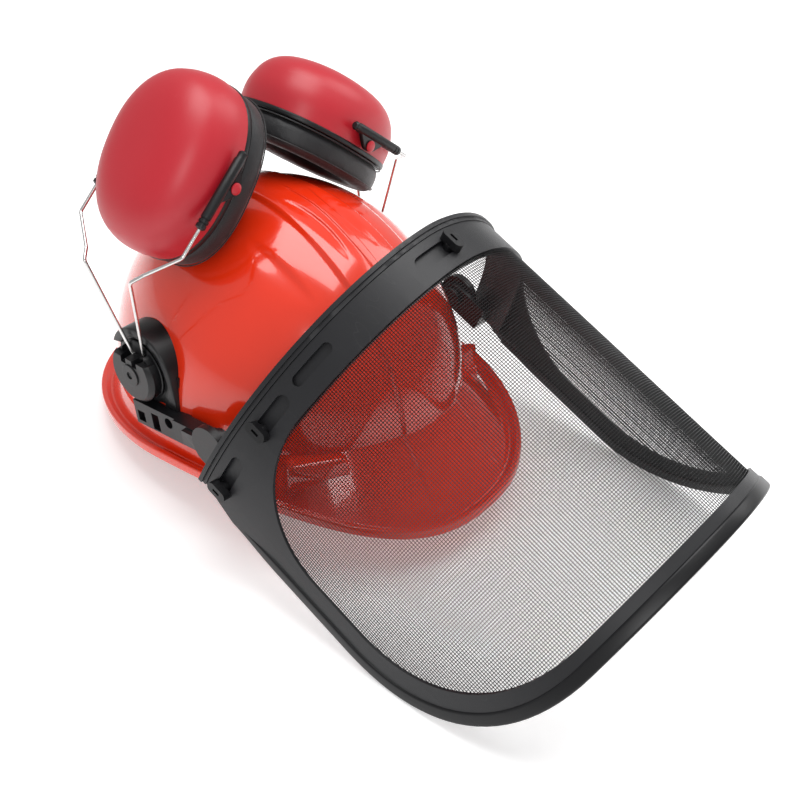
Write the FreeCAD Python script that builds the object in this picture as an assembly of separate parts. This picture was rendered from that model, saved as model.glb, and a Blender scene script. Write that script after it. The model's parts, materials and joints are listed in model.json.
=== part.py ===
"""Safety helmet with a mesh visor and parked ear muffs.

Everything is modelled in the helmet's own upright frame (+X the wearer's left,
-Y the front, +Z up from the rim) and then tipped back by TIP, the way the
helmet stands on a table on its rear rim and the visor's two lower corners.
"""
import FreeCAD, Part
import math
import os

V = FreeCAD.Vector
X_AXIS = V(1, 0, 0)
Y_AXIS = V(0, 1, 0)
Z_AXIS = V(0, 0, 1)

# Shell: an ellipsoid dome over a rim that drops at the front into a peak.
DOME_HALF_W = 99.6
DOME_HALF_L = 121.4
DOME_RISE = 123.3
DOME_Y = -6.7
DOME_BASE_Z = 12.0
WALL = 2.6
RIM_HALF_W = 108.8
RIM_REAR = 136.2
PEAK_REACH = 165.6
PEAK_DROP = 33.8
RIM_Z = 1.1
PEAK_ROUND = 2.38
LIP_RISE = 2.2
GUTTER_W = 7.0
GUTTER_DROP = 1.5
CREST_W = 44.0
CREST_RISE = 2.0

# Visor: an arched section across the face, straight along its generators.
PIVOT_Y = -61.0
PIVOT_Z = 30.0
VISOR_DIP = 30.8
VISOR_HALF_W = 123.2
VISOR_DEPTH = 145.0
VISOR_TAIL = -16.2
VISOR_ROUND = 1.77
VISOR_TOP = 13.6
VISOR_LENGTH = 222.9
CORNER_R = 91.2
TOP_BAND = 22.1
SIDE_BAND = 17.0
BOTTOM_BAND = 12.0
INNER_TOP_R = 61.2
FRAME_T = 1.6
MESH_T = 0.5
BRACKET_GAP = 2.6
BRACKET_T = 2.5
TRIM_W = 6.0
TRIM_PROUD = 0.9
CORNER_CUT = 7.0
CORNER_RUN = 24.4
BRACKET_TAIL = -9.4
LUG_R = 3.4
LUG_HEAD_R = 3.0
LUG_HEAD_HALF = 3.6
LUG_RISE = 5.0
LUG_DOWN = 23.5
LUG_Q = (43.4, -1.0)
RECESS_HALF = 8.5
RECESS_R = 4.4
SLOT_TURN = 45.0
SLOT_DOWN = 22.0
SLOT_HALF = 11.0
SLOT_R = 3.2

# Side fittings: the hub that carries a muff and the pivot disc of the visor.
HUB_X = 108.0
HUB_Y = 7.5
HUB_Z = 51.5
PLATE_LEAN = 9.0
PLATE_IN_X = 77.0
PLATE_FACE_X = 95.3
PLATE_HALF_W = 24.5
PLATE_LOW = -30.0
PLATE_HIGH = 25.0
STEP_IN = 3.7
SKIRT_Y = (-20.0, 12.0)
SKIRT_Z = (24.0, 52.0)
BASE_FACE_X = 98.3
LADDER_X = (97.0, 105.5)
LADDER_Y = (-29.0, 15.0)
LADDER_Z = (15.5, 31.5)
BAR_X = (100.0, 109.0)
BAR_Y = (-46.0, -27.0)
BAR_Z = (22.0, 34.0)
NECK_Y = (-55.0, -38.0)
NECK_Z = (23.5, 33.0)
WINDOW_FRONT = (-7.5, -1.0, 16.5, 27.5)
WINDOW_REAR = (6.0, 12.5, 18.0, 25.0)
PEEPHOLE = (3.4, -17.0, 26.0)
CAP_R = 19.0
CAP_IN_X = 98.6
CAP_FLAT_X = 105.5
CAP_OUT_X = 108.5
CAP_NOTCH = (2.6, 9.2)
SCREW_FOOT_X = 95.0
SCREW_R = 4.0
SCREW_HEAD_R = 7.0
SOCKET_R = 2.2
SOCKET_FLOOR_X = 106.8
DISC_R = 13.0
DISC_IN_X = 108.3
DISC_OUT_X = 112.8
STRUT_IN_X = 104.0
STRUT_OUT_X = 108.0
STRUT_HALF = 9.0
STRUT_REACH = 24.5
STRUT_FOOT_X = 124.0
PIVOT_PIN_R = 3.0
PIVOT_PIN_X = (101.5, 111.3)
PIVOT_HEAD_R = 7.0
PIVOT_HEAD_X = (100.8, 103.7)
OUTER_X = 130.0
RUN = 0.05

# Ear muff, in the arm's own axes: w to the front, a along the arm, o outward.
ARM_LEAN = 5.0
ARM_TUCK = {-1: 9.3, 1: 13.7}
WIRE_R = 1.05
YOKE_A = 9.5
YOKE_O = -6.5
WIRE_ROUTE = ((5.0, 9.5, -6.5), (19.9, 67.8, 14.0), (25.0, 72.5, 8.8), (43.6, 85.7, -1.4))
WIRE_TURN_IN = 39.6
WIRE_STRAIGHT = 50.0
TUBE_SET = {-1: 18.0, 1: 9.2}
TUBE_LENGTH = 47.0
TUBE_R = 2.9
TUBE_OFF = 6.3
PIN_SET = 28.5
PIN_R = 2.2
CUP_ROCK = {-1: 10.0, 1: 1.0}
CUP_HALF_W = 39.2
CUP_HALF_H = 51.5
CUP_DEPTH = 34.0
CUP_WALL = 3.0
PLATE_T = 3.0
CUSHION_T = 17.6
CUP_BASE_N = -3.0

# Harness inside the shell.
BAND_HALF_W = 76.0
BAND_HALF_L = 92.0
BAND_Y = -6.0
BAND_LOW = 6.0
BAND_HEIGHT = 28.0
BAND_T = 1.8
STRAP_W = 20.0
STRAP_T = 1.3
STRAP_TOP = 100.0
STRAP_ANGLE = 48.0
KEY_LOW = 16.0
KEY_HEIGHT = 20.0
KNOB_R = 15.0
KNOB_DEPTH = 11.0
KNOB_Z = 19.0
RATCHET_Y = 88.4
PINION_TEETH = 12
PINION_MODULE = 1.0
RACK_TEETH = 16
RACK_T = 3.0

# Attitude on the table.
TIP = 10.44
SIDES = {-1: "right", 1: "left"}


def box(x0, x1, y0, y1, z0, z1):
    return Part.makeBox(x1 - x0, y1 - y0, z1 - z0, V(x0, y0, z0))


def rod(radius, start, end):
    """A round bar between two points."""
    way = V(*end) - V(*start)
    return Part.makeCylinder(radius, way.Length, V(*start), way)


def fuse(first, *others):
    return first.multiFuse(list(others)).removeSplitter()


def ellipsoid(half_w, half_l, rise):
    ball = Part.makeSphere(1.0)
    stretch = FreeCAD.Matrix()
    stretch.scale(half_w, half_l, rise)
    ball = ball.transformGeometry(stretch)
    ball.translate(V(0, DOME_Y, DOME_BASE_Z))
    return ball


def dome_offset(offset):
    """The dome's ellipsoid, grown by an offset."""
    return ellipsoid(DOME_HALF_W + offset, DOME_HALF_L + offset, DOME_RISE + offset)


def closed_curve(points):
    curve = Part.BSplineCurve()
    curve.interpolate(Points=points, PeriodicFlag=True)
    return curve.toShape()


def open_curve(points):
    curve = Part.BSplineCurve()
    curve.interpolate(Points=points)
    return curve.toShape()


# ---------------------------------------------------------------- shell

RIM_STEPS = 36


def rim_point(turn, inset, rise):
    """A point of the rim, from the rear (turn 0) round to the peak (half a turn)."""
    across = math.sin(turn)
    along = math.cos(turn)
    if along >= 0:
        x = (RIM_HALF_W - inset) * across
        y = (RIM_REAR - inset) * along
        z = RIM_Z
    else:
        power = 2.0 / PEAK_ROUND
        x = (RIM_HALF_W - inset) * math.copysign(abs(across) ** power, across)
        y = -(PEAK_REACH - inset) * abs(along) ** power
        z = RIM_Z - PEAK_DROP * along ** 2
    return V(x, y, z + rise)


def rim_loop(inset, rise):
    turns = [math.tau * (i + 0.5) / RIM_STEPS for i in range(RIM_STEPS)]
    return closed_curve([rim_point(turn, inset, rise) for turn in turns])


def dome_loop(inset, height):
    turns = [math.tau * (i + 0.5) / RIM_STEPS for i in range(RIM_STEPS)]
    half_w = DOME_HALF_W - inset
    half_l = DOME_HALF_L - inset
    return closed_curve([V(half_w * math.sin(t), DOME_Y + half_l * math.cos(t), height) for t in turns])


def ring_solid(loops):
    """A closed ring whose cross-section has one corner on each loop."""
    faces = []
    for first, second in zip(loops, loops[1:] + loops[:1]):
        faces.append(Part.makeRuledSurface(first, second))
    skin = Part.Compound(faces)
    skin.sewShape()
    solid = Part.Solid(skin.Shells[0])
    if solid.Volume < 0:
        solid.reverse()
    return solid


def make_shell():
    bury = 0.4
    joint_z = DOME_BASE_Z + 2.0
    brim = ring_solid([
        dome_loop(bury, joint_z),
        rim_loop(GUTTER_W, -GUTTER_DROP),
        rim_loop(0.8, LIP_RISE),
        rim_loop(0.0, -GUTTER_DROP - WALL),
        rim_loop(GUTTER_W, -GUTTER_DROP - WALL),
        dome_loop(WALL - bury, joint_z),
    ])
    above = box(-150, 150, -200, 200, DOME_BASE_Z, 200)
    cap = dome_offset(0).common(above)
    crest_zone = box(-CREST_W / 2, CREST_W / 2, -100, 84, 80, 200)
    crest = dome_offset(CREST_RISE).common(crest_zone)
    outer = fuse(cap, crest)
    return fuse(outer.cut(dome_offset(-WALL)), brim)


# ---------------------------------------------------------------- visor

VISOR_STEPS = 28


def visor_point(turn, offset):
    """The visor's section at a turn of -90 to 90 degrees, moved outward by an offset."""
    power = 2.0 / VISOR_ROUND
    across = math.sin(turn)
    along = max(math.cos(turn), 0.0)
    x = VISOR_HALF_W * math.copysign(abs(across) ** power, across)
    q = VISOR_DEPTH * along ** power
    normal_x = math.copysign((abs(x) / VISOR_HALF_W) ** (VISOR_ROUND - 1) / VISOR_HALF_W, x)
    normal_q = (q / VISOR_DEPTH) ** (VISOR_ROUND - 1) / VISOR_DEPTH
    length = math.hypot(normal_x, normal_q)
    return x + offset * normal_x / length, q + VISOR_TAIL + offset * normal_q / length


def visor_curve(offset, height):
    points = []
    for i in range(VISOR_STEPS + 1):
        turn = math.radians(-90 + 180 * i / VISOR_STEPS)
        x, q = visor_point(turn, offset)
        points.append(V(x, q, height))
    return open_curve(points)


def visor_band(inner, outer, top, bottom):
    """A strip of the visor between two offsets, from top to bottom along it."""
    near = visor_curve(inner, top)
    far = visor_curve(outer, top)
    ends = [Part.makeLine(near.Vertexes[i].Point, far.Vertexes[i].Point) for i in (0, 1)]
    face = Part.Face(Part.Wire(Part.__sortEdges__([near, far] + ends)))
    return face.extrude(V(0, 0, bottom - top))


def side_outline(tail, top, bottom, top_r, bottom_r):
    """A prism across the visor whose outline, seen from the side, has rounded corners."""
    far = VISOR_DEPTH * 2
    bend = math.sqrt(0.5)
    low = V(0, tail + bottom_r * (1 - bend), bottom - bottom_r * (1 - bend))
    edges = [
        Part.makeLine(V(0, far, top), V(0, far, bottom)),
        Part.makeLine(V(0, far, bottom), V(0, tail + bottom_r, bottom)),
        Part.Arc(V(0, tail + bottom_r, bottom), low, V(0, tail, bottom - bottom_r)).toShape(),
    ]
    if top_r:
        high = V(0, tail + top_r * (1 - bend), top + top_r * (1 - bend))
        edges.append(Part.makeLine(V(0, tail, bottom - bottom_r), V(0, tail, top + top_r)))
        edges.append(Part.Arc(V(0, tail, top + top_r), high, V(0, tail + top_r, top)).toShape())
        edges.append(Part.makeLine(V(0, tail + top_r, top), V(0, far, top)))
    else:
        edges.append(Part.makeLine(V(0, tail, bottom - bottom_r), V(0, tail, top)))
        edges.append(Part.makeLine(V(0, tail, top), V(0, far, top)))
    face = Part.Face(Part.Wire(edges))
    prism = face.extrude(V(4 * VISOR_HALF_W, 0, 0))
    prism.translate(V(-2 * VISOR_HALF_W, 0, 0))
    return prism


def outer_outline(inset, top):
    return side_outline(VISOR_TAIL + inset, top, VISOR_LENGTH - inset, 0, CORNER_R - inset)


def inner_outline():
    return side_outline(VISOR_TAIL + SIDE_BAND, VISOR_TOP + TOP_BAND, VISOR_LENGTH - BOTTOM_BAND,
                        INNER_TOP_R, CORNER_R - BOTTOM_BAND)


def turn_at_q(q):
    """The section's turn where it passes a given q."""
    along = ((q - VISOR_TAIL) / VISOR_DEPTH) ** (VISOR_ROUND / 2.0)
    return math.acos(min(along, 1.0))


def band_frame(turn, down):
    """A place on the visor's band, and the directions outward and along it there."""
    x0, q0 = visor_point(turn, 0.0)
    x1, q1 = visor_point(turn, 1.0)
    out = V(x1 - x0, q1 - q0, 0)
    return V(x0, q0, down), out, V(out.y, -out.x, 0)


def lug_turns():
    """Turns of the middle lug and of the pairs beside it."""
    turns = [0.0]
    for q in LUG_Q:
        turns += [turn_at_q(q), -turn_at_q(q)]
    return turns


def round_bar(middle, long_way, out, half, radius, low, high):
    """A bar with round ends along long_way, standing from low to high along out."""
    ends = []
    for reach in (-half, half):
        ends.append(Part.makeCylinder(radius, high - low, middle + reach * long_way + low * out, out))
    straight = box(-half, half, -radius, radius, low, high)
    return fuse(moved(straight, placement(middle, long_way, out.cross(long_way), out)), *ends)


def make_frame():
    """The one-piece frame, with a keyhole at each lug and a long slot on each side."""
    ring = visor_band(-FRAME_T, 0.0, VISOR_TOP, VISOR_LENGTH + 1)
    ring = ring.common(outer_outline(0, VISOR_TOP)).cut(inner_outline())
    reach = 9.0
    cuts = []
    for turn in lug_turns():
        at, out, along = band_frame(turn, LUG_DOWN)
        inward = along if turn < 0 else -along
        cuts.append(Part.makeCylinder(LUG_R + 0.2, 2 * reach, at - reach * out, out))
        middle = at + (LUG_HEAD_R + RECESS_HALF) * inward
        cuts.append(round_bar(middle, along, out, RECESS_HALF, RECESS_R, -reach, reach))
    for side in SIDES:
        at, out, along = band_frame(side * math.radians(SLOT_TURN), SLOT_DOWN)
        cuts.append(round_bar(at, along, out, SLOT_HALF, SLOT_R, -reach, reach))
    cuts.append(corner_wedge())
    return ring.cut(cuts[0].multiFuse(cuts[1:]))


def corner_wedge():
    """What is cut off the frame's upper rear corners."""
    behind = VISOR_TAIL - 5.0
    low = VISOR_TOP + CORNER_RUN * (1 + 5.0 / CORNER_CUT)
    corners = [V(0, VISOR_TAIL + CORNER_CUT, VISOR_TOP), V(0, behind, VISOR_TOP), V(0, behind, low)]
    wedge = Part.Face(Part.makePolygon(corners + corners[:1])).extrude(V(4 * VISOR_HALF_W, 0, 0))
    wedge.translate(V(-2 * VISOR_HALF_W, 0, 0))
    return wedge


def make_mesh():
    inset = 4.0
    top = VISOR_TOP + 15.0
    sheet = visor_band(-FRAME_T - MESH_T, -FRAME_T, top, VISOR_LENGTH)
    return sheet.common(outer_outline(inset, top))


def make_trim():
    """The rolled bead that wraps the frame's sides and lower edge."""
    inner = -FRAME_T - MESH_T
    band = visor_band(inner - TRIM_PROUD, TRIM_PROUD, 40.0, VISOR_LENGTH + 10)
    bead = band.common(outer_outline(-1.5, 40.0)).cut(outer_outline(TRIM_W, 20.0))
    return bead.cut(visor_band(inner, 0.0, 30.0, VISOR_LENGTH + 1).common(outer_outline(0, 30.0)))


def make_bracket():
    inner = -BRACKET_GAP - BRACKET_T
    plate = visor_band(inner, -BRACKET_GAP, 10.0, 36.0)
    upper_lip = visor_band(inner, 1.6, 8.4, 11.0)
    lower_lip = visor_band(inner, 0.6, 10.9, VISOR_TOP - 0.2)
    kept = box(-200, 200, BRACKET_TAIL, 200, 0, 50)
    return fuse(plate, upper_lip, lower_lip).common(kept)


def make_lugs():
    """Posts with long slotted heads that hold the visor frame on the bracket."""
    posts = []
    for turn in lug_turns():
        at, out, along = band_frame(turn, LUG_DOWN)
        post = Part.makeCylinder(LUG_R, BRACKET_GAP + 1.2, at - BRACKET_GAP * out, out)
        head = round_bar(at, Z_AXIS, out, LUG_HEAD_HALF, LUG_HEAD_R, 0.4, 0.4 + LUG_RISE)
        slot = box(-2.4, 2.4, -0.7, 0.7, LUG_RISE - 1.2, LUG_RISE + 1.0)
        slot = moved(slot, placement(at, Z_AXIS, out.cross(Z_AXIS), out))
        posts.append(fuse(post, head).cut(slot))
    return Part.Compound(posts).cut(visor_band(-BRACKET_GAP - BRACKET_T, -BRACKET_GAP, 10.0, 36.0))


def make_strut(side):
    """The bracket's end: a flat eye on the pivot pin and a foot against the bracket."""
    inner_x = side * STRUT_IN_X
    eye = Part.makeCylinder(STRUT_HALF, STRUT_OUT_X - STRUT_IN_X, V(inner_x, 0, 0), side * X_AXIS)
    ends = sorted((inner_x, side * STRUT_OUT_X))
    arm = box(ends[0], ends[1], -STRUT_HALF, STRUT_HALF, 0, STRUT_REACH)
    reach = sorted((inner_x, side * STRUT_FOOT_X))
    foot = box(reach[0], reach[1], -STRUT_HALF, STRUT_HALF, DISC_R + 1.4, STRUT_REACH)
    solid = fuse(eye, arm, foot)
    solid = solid.cut(rod(PIVOT_PIN_R + RUN, (side * 90, 0, 0), (side * OUTER_X, 0, 0)))
    inner = -BRACKET_GAP - BRACKET_T
    return solid.cut(visor_band(inner, 20.0, 0.0, 60.0))


# ---------------------------------------------------------------- side fittings

def flip(side, x0, x1):
    """Two x values of one side in rising order."""
    return sorted((side * x0, side * x1))


def side_box(side, x0, x1, y0, y1, z0, z1):
    low, high = flip(side, x0, x1)
    return box(low, high, y0, y1, z0, z1)


def stadium(side, x0, x1, half_w, low, high):
    """An upright plate with round ends about the hub, leaning with the muff's arm."""
    length = x1 - x0
    start = V(side * x0, 0, 0)
    top = Part.makeCylinder(half_w, length, start + V(0, 0, high - half_w), side * X_AXIS)
    bottom = Part.makeCylinder(half_w, length, start + V(0, 0, low + half_w), side * X_AXIS)
    middle = side_box(side, x0, x1, -half_w, half_w, low + half_w, high - half_w)
    plate = fuse(top, bottom, middle)
    plate.rotate(V(0, 0, 0), X_AXIS, PLATE_LEAN)
    plate.translate(V(0, HUB_Y, HUB_Z))
    return plate


def hub_rod(side, radius, x0, x1):
    """A bar along the hub's axis."""
    return rod(radius, (side * x0, HUB_Y, HUB_Z), (side * x1, HUB_Y, HUB_Z))


def pivot_rod(side, radius, x0, x1):
    """A bar along the visor's pivot line."""
    return rod(radius, (side * x0, PIVOT_Y, PIVOT_Z), (side * x1, PIVOT_Y, PIVOT_Z))


def make_hub_base(side):
    """Stepped base plate, ladder of windows and the bar to the visor's pivot disc."""
    plate = stadium(side, PLATE_IN_X, PLATE_FACE_X, PLATE_HALF_W, PLATE_LOW, PLATE_HIGH)
    step = stadium(side, PLATE_IN_X, BASE_FACE_X, PLATE_HALF_W - STEP_IN,
                   PLATE_LOW + STEP_IN, PLATE_HIGH - STEP_IN)
    skirt = side_box(side, PLATE_IN_X, PLATE_FACE_X, *SKIRT_Y, *SKIRT_Z)
    ladder = side_box(side, *LADDER_X, *LADDER_Y, *LADDER_Z)
    bar = side_box(side, *BAR_X, *BAR_Y, *BAR_Z)
    neck = side_box(side, DISC_IN_X, DISC_OUT_X - 0.6, *NECK_Y, *NECK_Z)
    hole_r, hole_y, hole_z = PEEPHOLE
    windows = [
        side_box(side, PLATE_FACE_X, OUTER_X, *WINDOW_FRONT),
        side_box(side, PLATE_FACE_X, OUTER_X, *WINDOW_REAR),
        rod(hole_r, (side * PLATE_FACE_X, hole_y, hole_z), (side * OUTER_X, hole_y, hole_z)),
    ]
    disc = pivot_rod(side, DISC_R, DISC_IN_X, DISC_OUT_X)
    solid = fuse(plate, step, skirt, ladder, bar, neck, disc).cut(Part.Compound(windows))
    seat = hub_rod(side, SCREW_R, PLATE_IN_X, OUTER_X)
    pin = pivot_rod(side, PIVOT_PIN_R, PLATE_IN_X, PIVOT_PIN_X[1])
    return solid.cut(dome_offset(0.05)).cut(seat).cut(pin)


def make_pivot_pin(side):
    shaft = pivot_rod(side, PIVOT_PIN_R, *PIVOT_PIN_X)
    return fuse(shaft, pivot_rod(side, PIVOT_HEAD_R, *PIVOT_HEAD_X))


def make_hub_screw(side):
    under_head = CAP_FLAT_X + 0.2
    shaft = hub_rod(side, SCREW_R, SCREW_FOOT_X, under_head)
    head = hub_rod(side, SCREW_HEAD_R, under_head, CAP_OUT_X)
    return fuse(shaft, head).cut(hub_rod(side, SOCKET_R, SOCKET_FLOOR_X, OUTER_X))


def cross_bar(side):
    """How far out and how high above the hub the yoke's cross bar lies."""
    tuck = math.radians(-ARM_TUCK[side])
    out = HUB_X + YOKE_A * math.sin(tuck) + YOKE_O * math.cos(tuck)
    return out, YOKE_A * math.cos(tuck) - YOKE_O * math.sin(tuck)


def make_hub_cap(side):
    """The round cap that turns on the hub screw and holds the yoke's cross bar."""
    bar_x, bar_up = cross_bar(side)
    slack = WIRE_R + 0.5
    body = rod(CAP_R, (side * CAP_IN_X, 0, 0), (side * CAP_FLAT_X, 0, 0))
    flare = CAP_OUT_X - CAP_FLAT_X
    dish = Part.makeCone(CAP_R, CAP_R - flare, flare, V(side * CAP_FLAT_X, 0, 0), side * X_AXIS)
    cap = fuse(body, dish)
    cuts = [
        rod(SCREW_R + RUN, (side * PLATE_FACE_X, 0, 0), (side * OUTER_X, 0, 0)),
        rod(SCREW_HEAD_R + 0.4, (side * CAP_FLAT_X, 0, 0), (side * OUTER_X, 0, 0)),
        side_box(side, PLATE_FACE_X, bar_x + slack, -6.6, 6.6, bar_up - slack, bar_up + slack),
    ]
    for end in (-1, 1):
        span = sorted((end * CAP_NOTCH[0], end * CAP_NOTCH[1]))
        cuts.append(side_box(side, PLATE_FACE_X, OUTER_X, *span, bar_up - slack, CAP_R + 2))
    cap = cap.cut(Part.Compound(cuts))
    cap.rotate(V(0, 0, 0), X_AXIS, ARM_LEAN)
    cap.translate(V(0, HUB_Y, HUB_Z))
    return cap


# ---------------------------------------------------------------- ear muffs

def arm_axes(side):
    """The arm's w, a and o directions in the helmet's frame."""
    lean = math.radians(-ARM_LEAN)
    tuck = math.radians(-ARM_TUCK[side])
    up = V(0, math.sin(lean), math.cos(lean))
    out = V(side, 0, 0)
    front = V(0, -math.cos(lean), math.sin(lean))
    along = math.cos(tuck) * up + math.sin(tuck) * out
    outward = -math.sin(tuck) * up + math.cos(tuck) * out
    return front, along, outward


def placement(origin, first, second, third):
    matrix = FreeCAD.Matrix(first.x, second.x, third.x, origin.x,
                            first.y, second.y, third.y, origin.y,
                            first.z, second.z, third.z, origin.z,
                            0, 0, 0, 1)
    return FreeCAD.Placement(matrix)


def moved(shape, place):
    result = shape.copy()
    result.Placement = place.multiply(result.Placement)
    return result


def arm_place(side):
    """Local x, y, z are w, a, o; the yoke is even front to rear, so w may flip."""
    front, along, outward = arm_axes(side)
    return placement(V(side * HUB_X, HUB_Y, HUB_Z), -side * front, along, outward)


def tube_way():
    """The direction of the slider tubes in the arm's a and o."""
    turn = math.radians(WIRE_TURN_IN)
    return math.cos(turn), -math.sin(turn)


def along_tube(reach, off=0.0):
    """A point of the arm's middle plane: so far past the last bend, so far outward."""
    along, inward = tube_way()
    start = WIRE_ROUTE[-1]
    return start[1] + reach * along - off * inward, start[2] + reach * inward + off * along


def slider_place(side):
    """Local x, y, z are w, the tube direction and outward from it, at the cup pins."""
    along, inward = tube_way()
    pin_a, pin_o = along_tube(TUBE_SET[side] + PIN_SET, -TUBE_OFF)
    return placement(V(0, pin_a, pin_o), X_AXIS, V(0, along, inward), V(0, -inward, along))


def cup_place(side):
    """The slider's place, rocked on the cup pins."""
    rock = FreeCAD.Placement(V(0, 0, 0), FreeCAD.Rotation(X_AXIS, CUP_ROCK[side]))
    return slider_place(side).multiply(rock)


def make_yoke():
    """The spring-wire yoke: a cross bar in the hub cap and two bent legs."""
    parts = []
    width = WIRE_ROUTE[-1][0]
    for end in (-1, 1):
        route = [(end * w, a, o) for w, a, o in WIRE_ROUTE]
        route.append((end * width, *along_tube(WIRE_STRAIGHT)))
        for start, stop in zip(route, route[1:]):
            parts.append(rod(WIRE_R, start, stop))
        for corner in route[:-1]:
            parts.append(Part.makeSphere(WIRE_R, V(*corner)))
    first = WIRE_ROUTE[0]
    parts.append(rod(WIRE_R, (-first[0], first[1], first[2]), first))
    return parts[0].multiFuse(parts[1:])


def make_slider(end):
    """A tube that slides on one leg of the yoke, with a three-cornered lug."""
    w = WIRE_ROUTE[-1][0]
    face = w - 1.5
    thick = 3.0
    tube = rod(TUBE_R, (w, -PIN_SET, TUBE_OFF), (w, TUBE_LENGTH - PIN_SET, TUBE_OFF))
    tip = Part.makeCylinder(PIN_R + 1.2, thick, V(face, 0, 0), X_AXIS)
    corners = [V(face, -13, TUBE_OFF), V(face, 13, TUBE_OFF), V(face, 3.4, -0.5), V(face, -3.4, -0.5)]
    web = Part.Face(Part.makePolygon(corners + corners[:1])).extrude(V(thick, 0, 0))
    bore = rod(WIRE_R + RUN, (w, -PIN_SET - 5, TUBE_OFF), (w, TUBE_LENGTH - PIN_SET - 2, TUBE_OFF))
    pin_hole = rod(PIN_R, (w - 10, 0, 0), (w + 10, 0, 0))
    slider = fuse(tube, tip, web).cut(bore).cut(pin_hole)
    if end < 0:
        slider = slider.mirror(V(0, 0, 0), X_AXIS)
    return slider


def make_cup_pins():
    """The two rivets that the cup rocks on."""
    pins = []
    for end in (-1, 1):
        w = WIRE_ROUTE[-1][0]
        shaft = rod(PIN_R, (end * (CUP_HALF_W - 4), 0, 0), (end * (w + 2.0), 0, 0))
        head = rod(PIN_R + 1.2, (end * (w + 1.6), 0, 0), (end * (w + 3.2), 0, 0))
        pins.append(fuse(shaft, head))
    return Part.Compound(pins)


def oval(half_w, half_h, height, power=2.4):
    points = []
    for i in range(24):
        turn = math.tau * i / 24
        x = half_w * math.copysign(abs(math.cos(turn)) ** (2 / power), math.cos(turn))
        y = half_h * math.copysign(abs(math.sin(turn)) ** (2 / power), math.sin(turn))
        points.append(V(x, y, height))
    return Part.Wire(closed_curve(points))


def cup_body(inset):
    """The cup's outer form, or its hollow when inset by the wall."""
    base = CUP_BASE_N if inset == 0 else CUP_BASE_N - 1
    stages = ((0.0, 1.0), (0.28, 1.01), (0.62, 0.93), (0.86, 0.76), (1.0, 0.5))
    depth = CUP_DEPTH - inset
    wires = []
    for rise, scale in stages:
        half_w = CUP_HALF_W * scale - inset
        half_h = CUP_HALF_H * scale - inset
        wires.append(oval(half_w, half_h, base + rise * (depth - base)))
    return Part.makeLoft(wires, True, False)


def make_cup():
    hollow = cup_body(CUP_WALL)
    holes = rod(PIN_R + RUN, (-50, 0, 0), (50, 0, 0))
    return cup_body(0).cut(hollow).cut(holes)


def ring(half_w, half_h, hole_w, hole_h, low, high):
    outer = Part.Face(oval(half_w, half_h, low)).extrude(V(0, 0, high - low))
    inner = Part.Face(oval(hole_w, hole_h, low - 1)).extrude(V(0, 0, high - low + 2))
    return outer.cut(inner)


def make_cup_plate():
    return ring(CUP_HALF_W + 0.4, CUP_HALF_H + 0.4, 22, 35, CUP_BASE_N - PLATE_T, CUP_BASE_N)


def make_cushion():
    top = CUP_BASE_N - PLATE_T - 0.1
    cushion = ring(CUP_HALF_W, CUP_HALF_H, 20.5, 33, top - CUSHION_T, top)
    outer_edges = [e for e in cushion.Edges if abs(e.BoundBox.ZMin - (top - CUSHION_T)) < 0.01
                   and abs(e.BoundBox.ZMax - (top - CUSHION_T)) < 0.01]
    return cushion.makeFillet(5.0, outer_edges)


def make_foam():
    """The damping foam that lines the cup."""
    return Part.Face(oval(28, 42, 2.0)).extrude(V(0, 0, 12.0))


# ---------------------------------------------------------------- harness

def band_wire(half_w, half_l, height):
    points = []
    for i in range(24):
        turn = math.tau * (i + 0.5) / 24
        points.append(V(half_w * math.sin(turn), BAND_Y + half_l * math.cos(turn), height))
    return Part.Wire(closed_curve(points))


def band_ring(inner, outer, low, high):
    """An oval ring about the head, between two distances from the band's line."""
    big = Part.Face(band_wire(BAND_HALF_W + outer, BAND_HALF_L + outer, low))
    small = Part.Face(band_wire(BAND_HALF_W + inner, BAND_HALF_L + inner, low))
    rise = V(0, 0, high - low)
    return big.extrude(rise).cut(small.extrude(rise))


def make_headband():
    return band_ring(0.0, BAND_T, BAND_LOW, BAND_LOW + BAND_HEIGHT)


def make_sweatband():
    pad = band_ring(-4.3, -0.3, BAND_LOW - 1.0, BAND_LOW + BAND_HEIGHT + 1.0)
    return pad.common(box(-62, 62, -150, -40, -50, 100))


def make_nape_pad():
    pad = band_ring(-4.3, -0.3, BAND_LOW + 2.0, BAND_LOW + BAND_HEIGHT - 2.0)
    return pad.common(box(-45, 45, 30, 150, -50, 100))


def strap_reach(angle):
    """How far the shell's inner wall is from the middle, in a strap's direction."""
    across = math.sin(math.radians(angle)) / (DOME_HALF_W - WALL)
    along = math.cos(math.radians(angle)) / (DOME_HALF_L - WALL)
    return 1.0 / math.hypot(across, along)


def make_strap(side):
    """One webbing strap from a front key over the crown to the opposite rear key."""
    lift = 0.0 if side < 0 else STRAP_T + 0.6
    base = KEY_LOW + KEY_HEIGHT - 2.0
    outer_r = strap_reach(STRAP_ANGLE) - 6.0
    inner_r = outer_r - STRAP_T
    rise = STRAP_TOP + lift - base
    arch = half_arch(outer_r, rise).cut(half_arch(inner_r, rise - STRAP_T))
    arch.translate(V(0, 0, base))
    arch.rotate(V(0, 0, 0), Z_AXIS, 90.0 + side * STRAP_ANGLE)
    arch.translate(V(0, DOME_Y, 0))
    return arch


def half_arch(radius, rise):
    """A half-elliptic slab, one strap wide, standing on its flat side."""
    slab = Part.makeCylinder(1.0, STRAP_W, V(0, STRAP_W / 2, 0), -Y_AXIS)
    stretch = FreeCAD.Matrix()
    stretch.scale(radius, 1.0, rise)
    slab = slab.transformGeometry(stretch)
    return slab.common(box(-200, 200, -STRAP_W, STRAP_W, 0, 200))


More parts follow.
